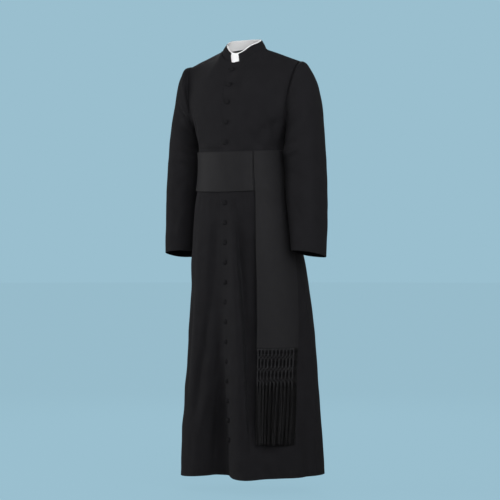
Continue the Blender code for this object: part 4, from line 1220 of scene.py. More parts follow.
def make_backs():
    levels = fine_levels()
    share = spaced(PANEL_COLUMNS - 2, PANEL_EDGE)
    level_grid = np.repeat(levels[:, None], len(share), axis=1)
    for name, first, last, seams in BACKS:
        angles = np.broadcast_to(mix(first + SEAM_ANGLE, last - SEAM_ANGLE, share), level_grid.shape)
        grid, _ = body_surface(angles, level_grid, True)
        part_shoulder(grid, levels, True)
        grid, normals = shoulder_allowance(grid, normals_of(grid), angles)
        hem = turn_ups(row_levels(levels, len(grid)) - HEM_HEIGHT, HEM_TURN)
        turned = np.repeat(hem[:, None], grid.shape[1], axis=1)
        for seam in seams:
            grid, normals = side_allowance(grid, normals, levels, hem, seam)
            turned = np.pad(turned, ((0, 0), (0, 2) if seam.way > 0.0 else (2, 0)))
        mesh = shell_mesh(name + "_cloth", grid, normals, CLOTH, turned=turned)
        add_piece(name + "_cloth", mesh, "wool", name)


# ------------------------------------------------------------------ sleeves
def armhole_ring(side, inset, outwards, columns):
    """Points round the armhole, from the shoulder down the front and up the back."""
    half = len(ARMHOLE_SHARES) - 1
    place = np.arange(columns) * 2.0 * half / columns
    shares = ARMHOLE_SHARES[::-1] + ARMHOLE_SHARES[1:]
    row = read_armhole(np.interp(place, np.arange(len(shares)), shares))
    points = np.stack([row.x, np.where(place <= half, row.front, row.back), row.height], -1)
    points = points + unit((np.array(ARMHOLE_MIDDLE) - points) * (0.0, 1.0, 1.0)) * inset
    points[:, 0] = (points[:, 0] + outwards) * side
    return points


def spot_swell(spots, along, degrees):
    """How far the broad soft spots swell a sleeve at places along it and round it."""
    return sum(
        spot.swell
        * bell((along - spot.along) / spot.reach_along)
        * bell(around(degrees, spot.around) / spot.reach_around)
        for spot in spots
    )


def sleeve_ring(side, along, columns):
    """Points round a sleeve at a share of its length, from its outer line to the front."""
    row = read_sleeve(np.array(along * (len(SLEEVE_SECTIONS) - 1)))
    middle_y = row.left_y if side > 0 else row.right_y
    degrees = np.arange(columns) * 360.0 / columns
    turn = np.radians(degrees)
    squareness = mix(2.0, SLEEVE_SQUARENESS, smooth_step(along / SLEEVE_SQUARES_BY))
    radius = oval_radius(turn, 1.0, 1.0, squareness)
    radius = radius * (1.0 + spot_swell(SLEEVE_CREASES, along, degrees) / SLEEVE_HALF_WIDTH)
    outer = 0.5 + 0.5 * np.cos(turn) * radius
    y = middle_y - row.half_depth * np.sin(turn) * radius
    x = mix(row.inner_x, row.outer_x, outer)
    z = mix(row.inner_z, row.outer_z, outer) - row.drop * (y - middle_y)
    return np.stack([x * side, y, z], -1)


def through_rings(rings, places):
    """Points of a smooth surface through rings at whole numbers, read at places between them."""
    rings = np.array(rings)
    last = len(rings) - 1
    index = np.minimum(places.astype(int), last - 1)
    first = rings[index]
    second = rings[index + 1]
    start = (second - rings[np.maximum(index - 1, 0)]) / 2.0
    end = (rings[np.minimum(index + 2, last)] - first) / 2.0
    return hermite((places - index)[:, None, None], first, start, second, end)


def sleeve_line_swell(along, degrees, lines):
    """How far the drawn lines push a sleeve out. They are measured on it laid flat, in metres."""
    total = np.zeros(along.shape)
    flat = (along * SLEEVE_FLAT[0], degrees * SLEEVE_FLAT[1])
    for line in lines:
        start = (line.along0 * SLEEVE_FLAT[0], line.around0 * SLEEVE_FLAT[1])
        end = (line.along1 * SLEEVE_FLAT[0], line.around1 * SLEEVE_FLAT[1])
        share, beside = along_line(start, end, *flat)
        total += line.swell * faded(share, SLEEVE_FADE, SLEEVE_FADE) * bell(beside / line.width)
    return total


def make_sleeve(name, side, lines, spots):
    columns = SLEEVE_FINE_COLUMNS
    inset = CLOTH + SLEEVE_INSET - HEAD_EASE
    rings = [armhole_ring(side, inset, outwards, columns) for outwards in (-SLEEVE_TURN_IN, SLEEVE_NECK)]
    rings += [sleeve_ring(side, number / (SLEEVE_ROWS - 1), columns) for number in range(SLEEVE_ROWS)]
    last = len(rings) - 1.0
    body = np.linspace(1.0, last, SLEEVE_FINE_ROWS - len(HEAD_PLACES) - 1)[:-1]
    places = np.concatenate([HEAD_PLACES, body, [last - CUFF_PLACE, last]])[::-1]
    order = np.arange(columns) if side < 0 else -np.arange(columns) % columns
    grid = through_rings(rings, places)[:, order]
    along = np.repeat(((places - 2.0) / (SLEEVE_ROWS - 1))[:, None], columns, axis=1)
    degrees = np.broadcast_to(order * 360.0 / columns, along.shape)
    swell = sleeve_line_swell(along, degrees, lines) + spot_swell(spots, along, degrees)
    swell = swell + SLEEVE_RIPPLE * ripple(grid * SLEEVE_RIPPLE_SCALE)
    swell = swell * smooth_step(along / HEAD_SMOOTHS)
    grid = grid + normals_of(grid, closed=True) * swell[..., None]
    turned = turn_ups(np.linalg.norm(grid - grid[:1], axis=-1), CUFF_TURN)
    normals = normals_of(grid, closed=True)
    mesh = shell_mesh(name + "_cloth", grid, normals, CLOTH, closed=True, turned=turned)
    add_piece(name + "_cloth", mesh, "wool", name)


# ------------------------------------------------------------------ collar
def collar_points(turn, rise_share, inset):
    """Points of a band that stands on the neckline, drawn in by an inset."""
    base = neck_points(turn, NECK_HALF_WIDTH - inset, NECK_FRONT + inset, NECK_BACK - inset)
    top = neck_points(
        turn, COLLAR_TOP_HALF_WIDTH - inset, COLLAR_TOP_FRONT + inset, COLLAR_TOP_BACK - inset
    )
    forward = np.cos(np.radians(turn))
    end_rise = np.where(forward > 0.0, COLLAR_FRONT_RISE, COLLAR_BACK_RISE)
    top[..., 2] += mix(COLLAR_SIDE_RISE, end_rise, forward * forward)
    top[..., 2] -= COLLAR_DIP * bell((np.abs(around(turn, 0.0)) - COLLAR_DIP_AT) / COLLAR_DIP_REACH)
    return mix(base, top, rise_share)


def leaned(turns, share):
    """Turns whose two ends, at the notch, move so that the notch opens upwards."""
    first = smooth_step((NOTCH_LEAN_REACH - turns) / NOTCH_LEAN_REACH)
    last = smooth_step((turns - 360.0 + NOTCH_LEAN_REACH) / NOTCH_LEAN_REACH)
    return turns - first * mix(*NOTCH_LEANS[0], share) + last * mix(*NOTCH_LEANS[1], share)


def collar_grid(turns, shares, inset, lean=False):
    """The collar's rows, the first turned in below the neckline."""
    rows = []
    for share in shares:
        points = collar_points(leaned(turns, share) if lean else turns, share, inset)
        points[:, 2] -= COLLAR_TURN_IN * (1.0 - min(share / COLLAR_ROW, 1.0))
        rows.append(points)
    return np.array(rows)


def make_collar():
    inset = COLLAR_WALL + 2.0 * SEAM
    notch = math.degrees(COLLAR_NOTCH / 2.0 / NECK_HALF_WIDTH)
    turns = np.linspace(notch, 360.0 - notch, COLLAR_FINE_COLUMNS)[1:-1]
    ends = np.array([notch, notch + COLLAR_EDGE])
    turns = np.concatenate([ends, turns, 360.0 - ends[::-1]])
    grid = collar_grid(turns, COLLAR_SHARES, inset, lean=True)
    from_end = np.radians(np.minimum(turns - notch, 360.0 - notch - turns)) * NECK_HALF_WIDTH
    within = np.clip(1.0 - from_end / COLLAR_CORNER, 0.0, 1.0)
    share = np.array(COLLAR_SHARES)[:, None]
    grid[..., 2] -= COLLAR_CORNER * (1.0 - np.sqrt(1.0 - within**2)) * share**4
    wall = COLLAR_WALL + COLLAR_PLUMP * np.sin(math.pi * share)
    mesh = shell_mesh("collar_cloth", grid, normals_of(grid), wall)
    add_piece("collar_cloth", mesh, "wool", "collar")

    turns = np.arange(COLLAR_FINE_COLUMNS) * 360.0 / COLLAR_FINE_COLUMNS
    shares = np.array(COLLAR_SHARES) * (1.0 + INSERT_SHOWS / COLLAR_SIDE_RISE)
    grid = collar_grid(turns, shares, inset + INSERT_WALL + SEAM)
    normals = normals_of(grid, closed=True)
    mesh = shell_mesh("collar_insert_linen", grid, normals, INSERT_WALL, closed=True)
    add_piece("collar_insert_linen", mesh, "linen", "collar_insert")


# ------------------------------------------------------------------ cords
def tube(points, radius, start, closed):
    """Corners and faces of a round cord along points, capped at both ends or closed to a ring."""
    points = np.asarray(points)
    if closed:
        ahead = np.roll(points, -1, axis=0) - np.roll(points, 1, axis=0)
    else:
        ahead = np.gradient(points, axis=0)
    ahead = unit(ahead)
    sideways = unit(np.cross(ahead, (0.0, 0.0, 1.0) if closed else (0.35, 1.0, 0.0)))
    outwards = np.cross(sideways, ahead)
    turns = 2.0 * math.pi * np.arange(CORD_SIDES)[:, None] / CORD_SIDES
    radius = np.broadcast_to(radius, (len(points),))[:, None, None]
    ring = sideways[:, None] * np.cos(turns) + outwards[:, None] * np.sin(turns)
    ring = points[:, None] + ring * radius
    faces = []
    rows = len(points)
    for row in range(rows if closed else rows - 1):
        low = start + row * CORD_SIDES
        high = start + (row + 1) % rows * CORD_SIDES
        for side in range(CORD_SIDES):
            right = (side + 1) % CORD_SIDES
            faces.append((low + side, low + right, high + right, high + side))
    if not closed:
        last = start + (rows - 1) * CORD_SIDES
        faces.append(tuple(range(start, start + CORD_SIDES))[::-1])
        faces.append(tuple(range(last, last + CORD_SIDES)))
    return ring.reshape(-1, 3), faces


class Cords:
    """Round cords, gathered into one mesh."""

    def __init__(self):
        self.corners = []
        self.faces = []
        self.flat = []
        self.count = 0

    def add(self, points, radius, width, along, closed):
        """A cord, with the width it has on its flat map and each point's place along it there."""
        made, faces = tube(points, radius, self.count, closed)
        across = width * np.arange(CORD_SIDES) / CORD_SIDES
        self.corners.append(made)
        self.faces.extend(faces)
        self.flat.append(np.stack(np.meshgrid(across, along), -1).reshape(-1, 2))
        self.count += len(made)
        return made

    def mesh(self, name):
        return cloth_mesh(name, np.concatenate(self.corners), self.faces, np.concatenate(self.flat))


# ------------------------------------------------------------------ buttons
def button_profile(degrees):
    """A covered button's radius and height, this many degrees down from the top of its dome."""
    turn = math.radians(degrees)
    if degrees <= 90.0:
        return BUTTON_RADIUS * math.sin(turn), BUTTON_DOME * mix(BUTTON_RIM, 1.0, math.cos(turn))
    under = turn - math.radians(90.0)
    down = math.sin(under) / math.sin(math.radians(BUTTON_WRAP - 90.0))
    radius = BUTTON_RADIUS * (1.0 - BUTTON_DRAW * (1.0 - math.cos(under)))
    return radius, BUTTON_DOME * BUTTON_RIM * (1.0 - down)


def button_mesh():
    """A mould covered with cloth: a low dome, a full rim and gathers drawn in beneath it."""
    points = [(0.0, 0.0, BUTTON_DOME)]
    for ring in range(1, BUTTON_RINGS + 1):
        share = ring / BUTTON_RINGS
        radius, height = button_profile(share * BUTTON_WRAP)
        for side in range(BUTTON_SIDES):
            angle = 2.0 * math.pi * side / BUTTON_SIDES
            pleat = 0.5 + 0.5 * math.cos(BUTTON_PLEATS * angle)
            reach = radius * (1.0 - BUTTON_GATHER * share**4 * pleat)
            points.append((reach * math.cos(angle), reach * math.sin(angle), height))
    points.append((0.0, 0.0, 0.0))
    faces = []
    for side in range(BUTTON_SIDES):
        following = (side + 1) % BUTTON_SIDES
        faces.append((0, 1 + side, 1 + following))
        for ring in range(BUTTON_RINGS - 1):
            low = 1 + ring * BUTTON_SIDES
            high = low + BUTTON_SIDES
            faces.append((low + side, high + side, high + following, low + following))
        last = 1 + (BUTTON_RINGS - 1) * BUTTON_SIDES
        faces.append((last + side, len(points) - 1, last + following))
    return cloth_mesh("button", points, faces, np.array(points)[:, :2])


def button_levels():
    """Each button's level on the centre front."""
    shares = np.linspace(0.0, 1.0, 2001)
    heights = chest_points(np.zeros_like(shares), shares, False)[..., 2]
    return [
        ARMPIT_HEIGHT + float(np.interp(height, heights, shares)) if height > ARMPIT_HEIGHT else height
        for height in BUTTON_HEIGHTS
    ]


def make_buttons():
    shared = button_mesh()
    shared.materials.append(FINISHES["button_wool"])
    shared.shade_smooth()
    for number, level in enumerate(button_levels()):
        node = f"button_{number + 1:02d}"
        low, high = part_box(node)
        near = panel_points(np.zeros(2), np.array([level - PROBE_RISE, level + PROBE_RISE]), False)
        upward = Vector(near[1] - near[0]).normalized()
        normal = Vector((1.0, 0.0, 0.0)).cross(upward).normalized()
        button = bpy.data.objects.new(node + "_covered", shared)
        bpy.context.scene.collection.objects.link(button)
        place = (low + high) / 2.0 - normal * (BUTTON_DOME / 2.0)
        turn = normal.to_track_quat("Z", "Y").to_matrix().to_4x4()
        button.matrix_world = Matrix.Translation(place) @ turn
        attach(button, "root")
        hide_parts(node)


def make_buttonholes(fronts):
    """Corded edges of the buttonholes, sewn on the lapping front. The buttons hide part of each."""
    trees = []
    for front in fronts:
        places = [vertex.co for vertex in front.data.vertices]
        trees.append(BVHTree.FromPolygons(places, [polygon.vertices for polygon in front.data.polygons]))
    cords = Cords()
    half = (BUTTONHOLE_LENGTH - BUTTONHOLE_WIDTH) / 2.0
    turn = 2.0 * math.pi * np.arange(STITCH_POINTS) / STITCH_POINTS
    for height in BUTTON_HEIGHTS:
        line = []
        for angle in turn:
            reach = abs(math.cos(angle)) ** BUTTONHOLE_POWER
            x = BUTTONHOLE_OFFSET + half * math.copysign(reach, math.cos(angle))
            z = height + BUTTONHOLE_WIDTH / 2.0 * math.sin(angle)
            hits = [tree.ray_cast(Vector((x, -1.0, z)), Vector((0.0, 1.0, 0.0)))[0] for tree in trees]
            nearest = min(hit.y for hit in hits if hit is not None)
            line.append((x, nearest - STITCH_RADIUS * STITCH_PROUD, z))
        cords.add(line, STITCH_RADIUS, STITCH_ROUND, turn * STITCH_ALONG, True)
    add_piece("buttonhole_stitching", cords.mesh("buttonhole_stitching"), "thread")


# ------------------------------------------------------------------ fascia
def wave_height(wave, across, up, seed=0.0):
    return wave.height * np.sin(wave.across * across + wave.up * up + wave.phase + wave.seeded * seed)


def make_band():
    angle = np.arange(BAND_FINE_COLUMNS) * 360.0 / BAND_FINE_COLUMNS
    low_edge = np.array(BAND_EDGE)
    share = np.concatenate([low_edge, np.linspace(*BAND_ROWS), 1.0 - low_edge[::-1]])
    angle, share = np.meshgrid(angle, share)
    height = mix(*band_edges(angle), share)
    turn = np.radians(angle)
    sag = wave_height(BAND_WAVES[0], turn, share) * np.sin(math.pi * share)
    sag += wave_height(BAND_WAVES[1], turn, share) + wave_height(BAND_WAVES[2], turn, share)
    covered = window(angle, *BAND_COVERED, BAND_COVERED_EASE)
    beside_fall = read_falls(height).inner_angle - BAND_DENT_AT
    lift = BAND_LIFT + BAND_CLEAR + sag * (1.0 - covered)
    lift = lift - BAND_DENT * bell(around(angle, beside_fall) / BAND_DENT_REACH)
    grid, _ = lifted(angle, height, lift)
    mesh = shell_mesh("fascia_band_silk", grid, normals_of(grid, closed=True), FAILLE, closed=True)
    add_piece("fascia_band_silk", mesh, "faille", "fascia_band")


def fall_points(across, height, lift, shift):
    """Points of a fall, which steps out over the band, and their normals."""
    row = read_falls(height)
    angle = mix(row.inner_angle, row.outer_angle, across + shift)
    over_band = 1.0 - smooth_step((BAND_BOTTOM_FRONT + FALL_STEP_START - height) / FALL_STEP_HEIGHT)
    return lifted(angle, height, lift + over_band * FALL_STEP)


def make_fall(fall):
    across, share = np.meshgrid(
        spaced(FALL_FINE_COLUMNS, FALL_EDGE_ACROSS), spaced(FALL_FINE_ROWS, FALL_EDGE_UP)
    )
    top_row = FALL_EDGES[0]
    top = band_edges(mix(top_row.inner_angle, top_row.outer_angle, across + fall.shift))[1]
    height = mix(FALL_END, top, share)
    inside = np.sin(math.pi * across) ** 0.5
    sag = wave_height(FALL_WAVES[0], across, height, fall.seed) * inside
    sag += wave_height(FALL_WAVES[1], across, height, fall.seed)
    sag -= BAND_PRINT * bell((height - BAND_BOTTOM_FRONT + BAND_PRINT_BELOW) / BAND_PRINT_WIDTH) * inside
    grid, _ = fall_points(across, height, fall.lift + sag, fall.shift)
    mesh = shell_mesh(fall.name + "_silk", grid, normals_of(grid), FAILLE)
    add_piece(fall.name + "_silk", mesh, "faille", fall.name)


# ------------------------------------------------------------------ fringe
def moved(across, side, steps):
    """A bundle's half after so many steps, and its side: at the net's edge it turns back."""
    raw = across + steps * side / BUNDLES
    return (raw, side) if 0.0 < raw < 1.0 else (1.0 - abs(1.0 - abs(raw)), -side)


def net_keys(levels, first, own, layer):
    """A cord's key places down the net. Each holds its height, its place across and how far out."""
    second, second_side = moved(first, layer, 1)
    third, third_side = moved(first, layer, 2)
    last, last_side = moved(first, layer, 3)
    outs = (
        -HEADING_LAYER * layer, -layer, -layer, -second_side, -second_side, -third_side, third_side,
        last_side, last_side,
    )
    across = (first + own, first, first, second, second, third, third, last, last)
    heights = [levels[number] + rise for number, rise in NET_KEYS]
    return np.stack([heights, np.array(across) + own, CORD_LAYER * np.array(outs)], -1), last, last_side


def net_way(keys, column):
    """A cord's way through its key places, and the plait in which it crosses its neighbours."""
    parts = []
    for step in range(len(keys) - 1):
        share = np.linspace(0.0, 1.0, OPEN_POINTS if step in OPEN_STEPS else CLOSE_POINTS)[:-1]
        eased = smooth_step(share)
        plait = PLAIT * math.sin(math.pi * 0.5 * (step + column)) * np.sin(math.pi * share)
        height = mix(keys[step, 0], keys[step + 1, 0], share)
        across, out = (mix(keys[step, part], keys[step + 1, part], eased) for part in (1, 2))
        parts.append(np.stack([height, across, out + plait]))
    return np.concatenate(parts, axis=1)


def make_fringe(fringe):
    """Bundles of cord that part, cross and are tied again in a net, and then hang free."""
    random = np.random.default_rng(fringe.seed)
    cords = Cords()
    forward = []
    pitch = 1.0 / BUNDLES
    spacing = fringe.spacing * pitch
    levels = FALL_END - SEAM - np.concatenate([[0.0], np.cumsum(NET_STEPS)])
    net_end = levels[-1]

    def add_cord(across, height, out, radius=CORD_RADIUS, closed=False):
        across, height, out = np.broadcast_arrays(across, height, out)
        across = np.clip(across, FRINGE_MARGIN, 1.0 - FRINGE_MARGIN)
        bow = FRINGE_BOW * np.sin(math.pi * across) * np.maximum(net_end - height, 0.0) / FREE_LENGTH
        below_heading = smooth_step((levels[0] + STAND_START - height) / STAND_EASE)
        from_panel = fringe.fall.lift + FAILLE / 2.0 + out + fringe.stand * below_heading
        points, normal = fall_points(across, height - bow, from_panel, fringe.fall.shift)
        step = np.linalg.norm(np.diff(points, axis=0), axis=1)
        length = np.concatenate([[0.0], np.cumsum(step)])
        made = cords.add(points, radius, CORD_ROUND, length, closed)
        # painted shade: how far each corner lies forward, on its cord and in the fringe, with a painted
        # sheen on the net and the free cords painted darker
        depth = ((made.reshape(-1, CORD_SIDES, 3) - points[:, None]) * normal[:, None]).sum(-1)
        tone = np.where(height > net_end - NET_TONE_PAST, NET_TONE, FREE_TONE)[:, None]
        forward.append((depth + out[:, None] + tone).ravel() + random.uniform(-1.0, 1.0) * CORD_TONE)

    # the heading: close rows of cord across the end of the cloth
    across = np.linspace(HEADING_EDGE, 1.0 - HEADING_EDGE, HEADING_POINTS)
    for row, (below, radius) in enumerate(HEADING_ROWS):
        wobble = HEADING_WOBBLE * np.sin(4.0 * math.pi * across * BUNDLES + row * HEADING_STAGGER)
        add_cord(across, FALL_END - SEAM - below + wobble, wobble, radius)

    # each cord: down through the net, then free
    share = np.linspace(0.0, 1.0, FREE_POINTS)
    for bundle in range(BUNDLES):
        bundle_drift = random.uniform(-BUNDLE_DRIFT, BUNDLE_DRIFT) * pitch
        bundle_reach = random.uniform(*fringe.reach) * pitch
        bundle_end = random.uniform(*BUNDLE_ENDS)
        for layer in (-1.0, 1.0):
            for column in CORD_COLUMNS:
                own = spacing * column
                keys, last, last_side = net_keys(levels, (bundle + 0.5) * pitch, own, layer)
                end = FRINGE_END + FRINGE_BOW + bundle_end + random.uniform(*CORD_ENDS)
                drift = bundle_drift + random.uniform(-CORD_DRIFT, CORD_DRIFT) * pitch
                phase = random.uniform(0.0, 2.0 * math.pi)
                depth = random.uniform(*CORD_OUTS)
                apart = smooth_step(share * 4.0)
                spread = mix(spacing, COLUMN_REACH * bundle_reach, smooth_step(share * 5.0))
                hang = last + column * spread + last_side * LAYER_REACH * bundle_reach * apart
                hang = hang + drift * share + FREE_SWAY * pitch * np.sin(8.0 * share + phase) * share
                waver = FREE_WAVER * np.sin(7.0 * share + phase) * share
                out = keys[-1, 2] + depth * apart + waver
                free = np.stack([mix(keys[-1, 0], end, share), hang, out])
                heights, line, out = np.concatenate([net_way(keys, column), free], axis=1)
                radius = np.full(len(heights), CORD_RADIUS * random.uniform(*CORD_THICKNESSES))
                radius[heights > net_end] *= NET_THINNESS
                radius[-1] *= END_THINNESS
                add_cord(line, heights, out, radius)

    # rings that tie each bundle above and below every open row
    turn = 2.0 * math.pi * np.arange(RING_POINTS) / RING_POINTS
    for number in range(2, len(levels)):
        height = levels[number] + RING_RISES[number % 2]
        for bundle in range(BUNDLES):
            tilt = random.uniform(-RING_TILTS, RING_TILTS) + RING_TILT
            add_cord(
                (bundle + 0.5) * pitch + (spacing + RING_WIDER * pitch) * np.cos(turn),
                height + tilt * np.cos(turn) + random.uniform(-RING_STRAY, RING_STRAY),
                RING_DEPTH * np.sin(turn), RING_RADIUS, True,
            )

    mesh = cords.mesh(fringe.name + "_cords")
    # from 0, painted darkest, to 1, painted lightest: the painted shade that the cords' finish reads
    forward = (np.concatenate(forward) - CORD_BEHIND) / (CORD_BEFORE - CORD_BEHIND)
    attribute = mesh.attributes.new("Forward", "FLOAT", "POINT")
    attribute.data.foreach_set("value", np.clip(forward, 0.0, 1.0).astype(np.float32))
    face_outwards(mesh)
    add_piece(fringe.name + "_cords", mesh, fringe.finish, fringe.name)


INPUTS = {
    "specular": "Specular IOR Level",
    "sheen": "Sheen Weight",
    "sheen_roughness": "Sheen Roughness",
    "sheen_tint": "Sheen Tint",
}


class Nodes:
    """A short way to write a material's node tree."""

    def __init__(self, name, colour, roughness, **settings):
        self.material = bpy.data.materials.new(name)
        self.material.use_nodes = True
        self.tree = self.material.node_tree
        self.shader = self.tree.nodes["Principled BSDF"]
        self.shader.inputs["Base Color"].default_value = (*colour, 1.0)
        self.shader.inputs["Roughness"].default_value = roughness
        for key, value in settings.items():
            self.shader.inputs[INPUTS[key]].default_value = value
        self.material.diffuse_color = (*colour, 1.0)

    def add(self, kind, **settings):
        node = self.tree.nodes.new(kind)
        for key, value in settings.items():
            if key in node.inputs:
                node.inputs[key].default_value = value
            else:
                setattr(node, key, value)
        return node

    def link(self, source, target):
        self.tree.links.new(source, target)

    def cloth_place(self, scale):
        """The flat cloth's coordinates, in units of the scale."""
        place = self.add("ShaderNodeUVMap", uv_map="Cloth")
        mapping = self.add("ShaderNodeMapping", vector_type="POINT")
        mapping.inputs["Scale"].default_value = scale
        self.link(place.outputs["UV"], mapping.inputs["Vector"])
        return mapping.outputs["Vector"]

    def turned(self, vector, degrees):
        mapping = self.add("ShaderNodeMapping", vector_type="POINT")
        mapping.inputs["Rotation"].default_value = (0.0, 0.0, math.radians(degrees))
        self.link(vector, mapping.inputs["Vector"])
        return mapping.outputs["Vector"]

    def noise(self, vector, scale, detail=3.0, roughness=0.55):
        node = self.add("ShaderNodeTexNoise", Scale=scale, Detail=detail, Roughness=roughness)
        self.link(vector, node.inputs["Vector"])
        return node.outputs["Fac"]

    def wave(self, vector, scale, direction="X", distortion=0.0):
        node = self.add("ShaderNodeTexWave", wave_type="BANDS", bands_direction=direction)
        node.inputs["Scale"].default_value = scale
        node.inputs["Distortion"].default_value = distortion
        self.link(vector, node.inputs["Vector"])
        return node.outputs["Fac"]

    def math(self, operation, first, second):
        node = self.add("ShaderNodeMath", operation=operation)
        for socket, value in zip(node.inputs, (first, second)):
            if isinstance(value, (int, float)):
                socket.default_value = value
            else:
                self.link(value, socket)
        return node.outputs[0]

    def blend(self, first, share, second, second_share):
        """The sum of two sources, each times its share."""
        first = self.math("MULTIPLY", first, share)
        return self.math("ADD", first, self.math("MULTIPLY", second, second_share))

    def ramp(self, source, *stops):
        node = self.add("ShaderNodeValToRGB")
        for element, (place, colour) in zip(node.color_ramp.elements, stops):
            element.position = place
            element.color = (*colour, 1.0)
        self.link(source, node.inputs["Fac"])
        return node.outputs["Color"]

    def value_range(self, source, low, high):
        node = self.add("ShaderNodeMapRange")
        node.inputs["To Min"].default_value = low
        node.inputs["To Max"].default_value = high
        self.link(source, node.inputs["Value"])
        return node.outputs["Result"]

    def bump(self, height, strength, distance):
        node = self.add("ShaderNodeBump", Strength=strength, Distance=distance)
        self.link(height, node.inputs["Height"])
        return node.outputs["Normal"]


MILLIMETRES = (1000.0, 1000.0, 1.0)
STREAKS = (1000.0, 60.0, 1.0)   # the same, drawn out along the strip
WOOL_COLOUR = (0.0104, 0.0103, 0.0120)
WOOL_DARK = (0.0083, 0.0082, 0.0096)
WOOL_LIGHT = (0.0125, 0.0123, 0.0143)
FAILLE_COLOUR = (0.0139, 0.0139, 0.0154)
FAILLE_DARK = (0.0123, 0.0123, 0.0136)
FAILLE_LIGHT = (0.0155, 0.0155, 0.0172)
CORD_COLOUR = (0.0118, 0.0118, 0.0132)
# the cords' painted shade: the colour painted deepest in the fringe, and the colour painted at its front
CORD_PAINTED_SHADE = (0.0007, 0.0007, 0.0008)
CORD_PAINTED_LIT = (0.0330, 0.0330, 0.0365)
LINEN_COLOUR = (0.96, 0.965, 0.975)
LINEN_DARK = (0.95, 0.955, 0.965)
LINEN_LIGHT = (0.975, 0.98, 0.985)


def scaled(colour, factor):
    return tuple(part * factor for part in colour)


def wool(name, brightness=1.0):
    """Fine twill with a raised nap: diagonal ribs, slubs, and broad soft changes of tone."""
    nodes = Nodes(
        name, scaled(WOOL_COLOUR, brightness), 0.86,
        specular=0.12, sheen=0.012, sheen_roughness=0.45, sheen_tint=(0.80, 0.82, 0.88, 1.0),
    )
    shader = nodes.shader
    cloth = nodes.cloth_place(MILLIMETRES)
    twill = nodes.wave(nodes.turned(cloth, 62.0), 0.30, "X", 0.6)
    thread = nodes.noise(cloth, 1.7, 2.0)
    nap = nodes.noise(cloth, 0.42, 4.0, 0.62)
    cloud = nodes.noise(cloth, 0.022, 3.0, 0.5)
    height = nodes.blend(twill, 0.55, thread, 0.45)
    height = nodes.math("ADD", height, nodes.math("MULTIPLY", nap, 0.6))
    tone = nodes.blend(nap, 0.55, cloud, 0.45)
    colour = nodes.ramp(
        tone, (0.34, scaled(WOOL_DARK, brightness)), (0.68, scaled(WOOL_LIGHT, brightness))
    )
    nodes.link(colour, shader.inputs["Base Color"])
    nodes.link(nodes.value_range(nap, 0.78, 0.93), shader.inputs["Roughness"])
    nodes.link(nodes.bump(height, 0.55, 0.00035), shader.inputs["Normal"])
    return nodes.material


def faille():
    """Ribbed silk: fine ribs across the strip, a little uneven, with a soft gloss."""
    nodes = Nodes(
        "black_faille_ribbed", FAILLE_COLOUR, 0.62, specular=0.12, sheen=0.012, sheen_roughness=0.35
    )
    shader = nodes.shader
    cloth = nodes.cloth_place(MILLIMETRES)
    ribs = nodes.wave(cloth, 0.36, "Y", 0.5)
    thread = nodes.noise(cloth, 1.2, 2.0)
    cloud = nodes.noise(cloth, 0.03, 3.0, 0.5)
    streak = nodes.noise(nodes.cloth_place(STREAKS), 0.35, 2.0)
    height = nodes.math("ADD", ribs, nodes.math("MULTIPLY", thread, 0.35))
    colour = nodes.ramp(
        nodes.blend(streak, 0.5, cloud, 0.5), (0.32, FAILLE_DARK), (0.70, FAILLE_LIGHT)
    )
    nodes.link(colour, shader.inputs["Base Color"])
    nodes.link(nodes.value_range(thread, 0.58, 0.70), shader.inputs["Roughness"])
    nodes.link(nodes.bump(height, 0.30, 0.00025), shader.inputs["Normal"])
    return nodes.material


def cord(name, brightness):
    """Twisted silk cord: plies that wind round it, with painted shade where it lies deep in the fringe
    and a painted sheen on the net's cords.
    """
    nodes = Nodes(name, scaled(CORD_COLOUR, brightness), 0.52, specular=0.20, sheen=0.01)
    shader = nodes.shader
    place = nodes.cloth_place(MILLIMETRES)
    ply = nodes.wave(nodes.turned(place, 38.0), 0.18, "Y", 0.3)
    fibre = nodes.noise(place, 1.4, 3.0)
    # Forward sets the painted shade: dark deep in the fringe and on each cord's inner side, light at its
    # front, lighter on the net as painted sheen
    forward = nodes.add("ShaderNodeAttribute", attribute_name="Forward").outputs["Fac"]
    tone = nodes.blend(ply, 0.25, forward, 0.75)
    colour = nodes.ramp(
        tone, (0.15, scaled(CORD_PAINTED_SHADE, brightness)), (0.92, scaled(CORD_PAINTED_LIT, brightness))
    )
    nodes.link(colour, shader.inputs["Base Color"])
    nodes.link(nodes.value_range(fibre, 0.42, 0.64), shader.inputs["Roughness"])
    height = nodes.math("ADD", ply, nodes.math("MULTIPLY", fibre, 0.3))
    nodes.link(nodes.bump(height, 0.8, 0.0005), shader.inputs["Normal"])
    return nodes.material


def linen():
    """Smooth starched linen, nearly plain, with a close even weave."""
    nodes = Nodes("white_insert_linen", LINEN_COLOUR, 0.42, specular=0.40)
    shader = nodes.shader
    cloth = nodes.cloth_place(MILLIMETRES)
    warp = nodes.wave(cloth, 0.50, "X", 0.3)
    weft = nodes.wave(cloth, 0.50, "Y", 0.3)
    cloud = nodes.noise(cloth, 0.05, 2.0)
    colour = nodes.ramp(cloud, (0.3, LINEN_DARK), (0.7, LINEN_LIGHT))
    nodes.link(colour, shader.inputs["Base Color"])
    nodes.link(nodes.value_range(cloud, 0.36, 0.50), shader.inputs["Roughness"])
    nodes.link(nodes.bump(nodes.math("MULTIPLY", warp, weft), 0.3, 0.00015), shader.inputs["Normal"])
    return nodes.material


FINISHES = {
    "wool": wool("black_wool_twill"),
    "button_wool": wool("black_wool_covered_button", 0.80),
    "thread": cord("black_buttonhole_thread", 0.55),
    "faille": faille(),
    "cord": cord("fringe_silk_cord", 1.0),
    # the rear fringe's cords: the same silk painted darker, as painted shade from the front fringe
    "rear_cord": cord("fringe_silk_cord_rear_painted_shade", 0.26),
    "linen": linen(),
}

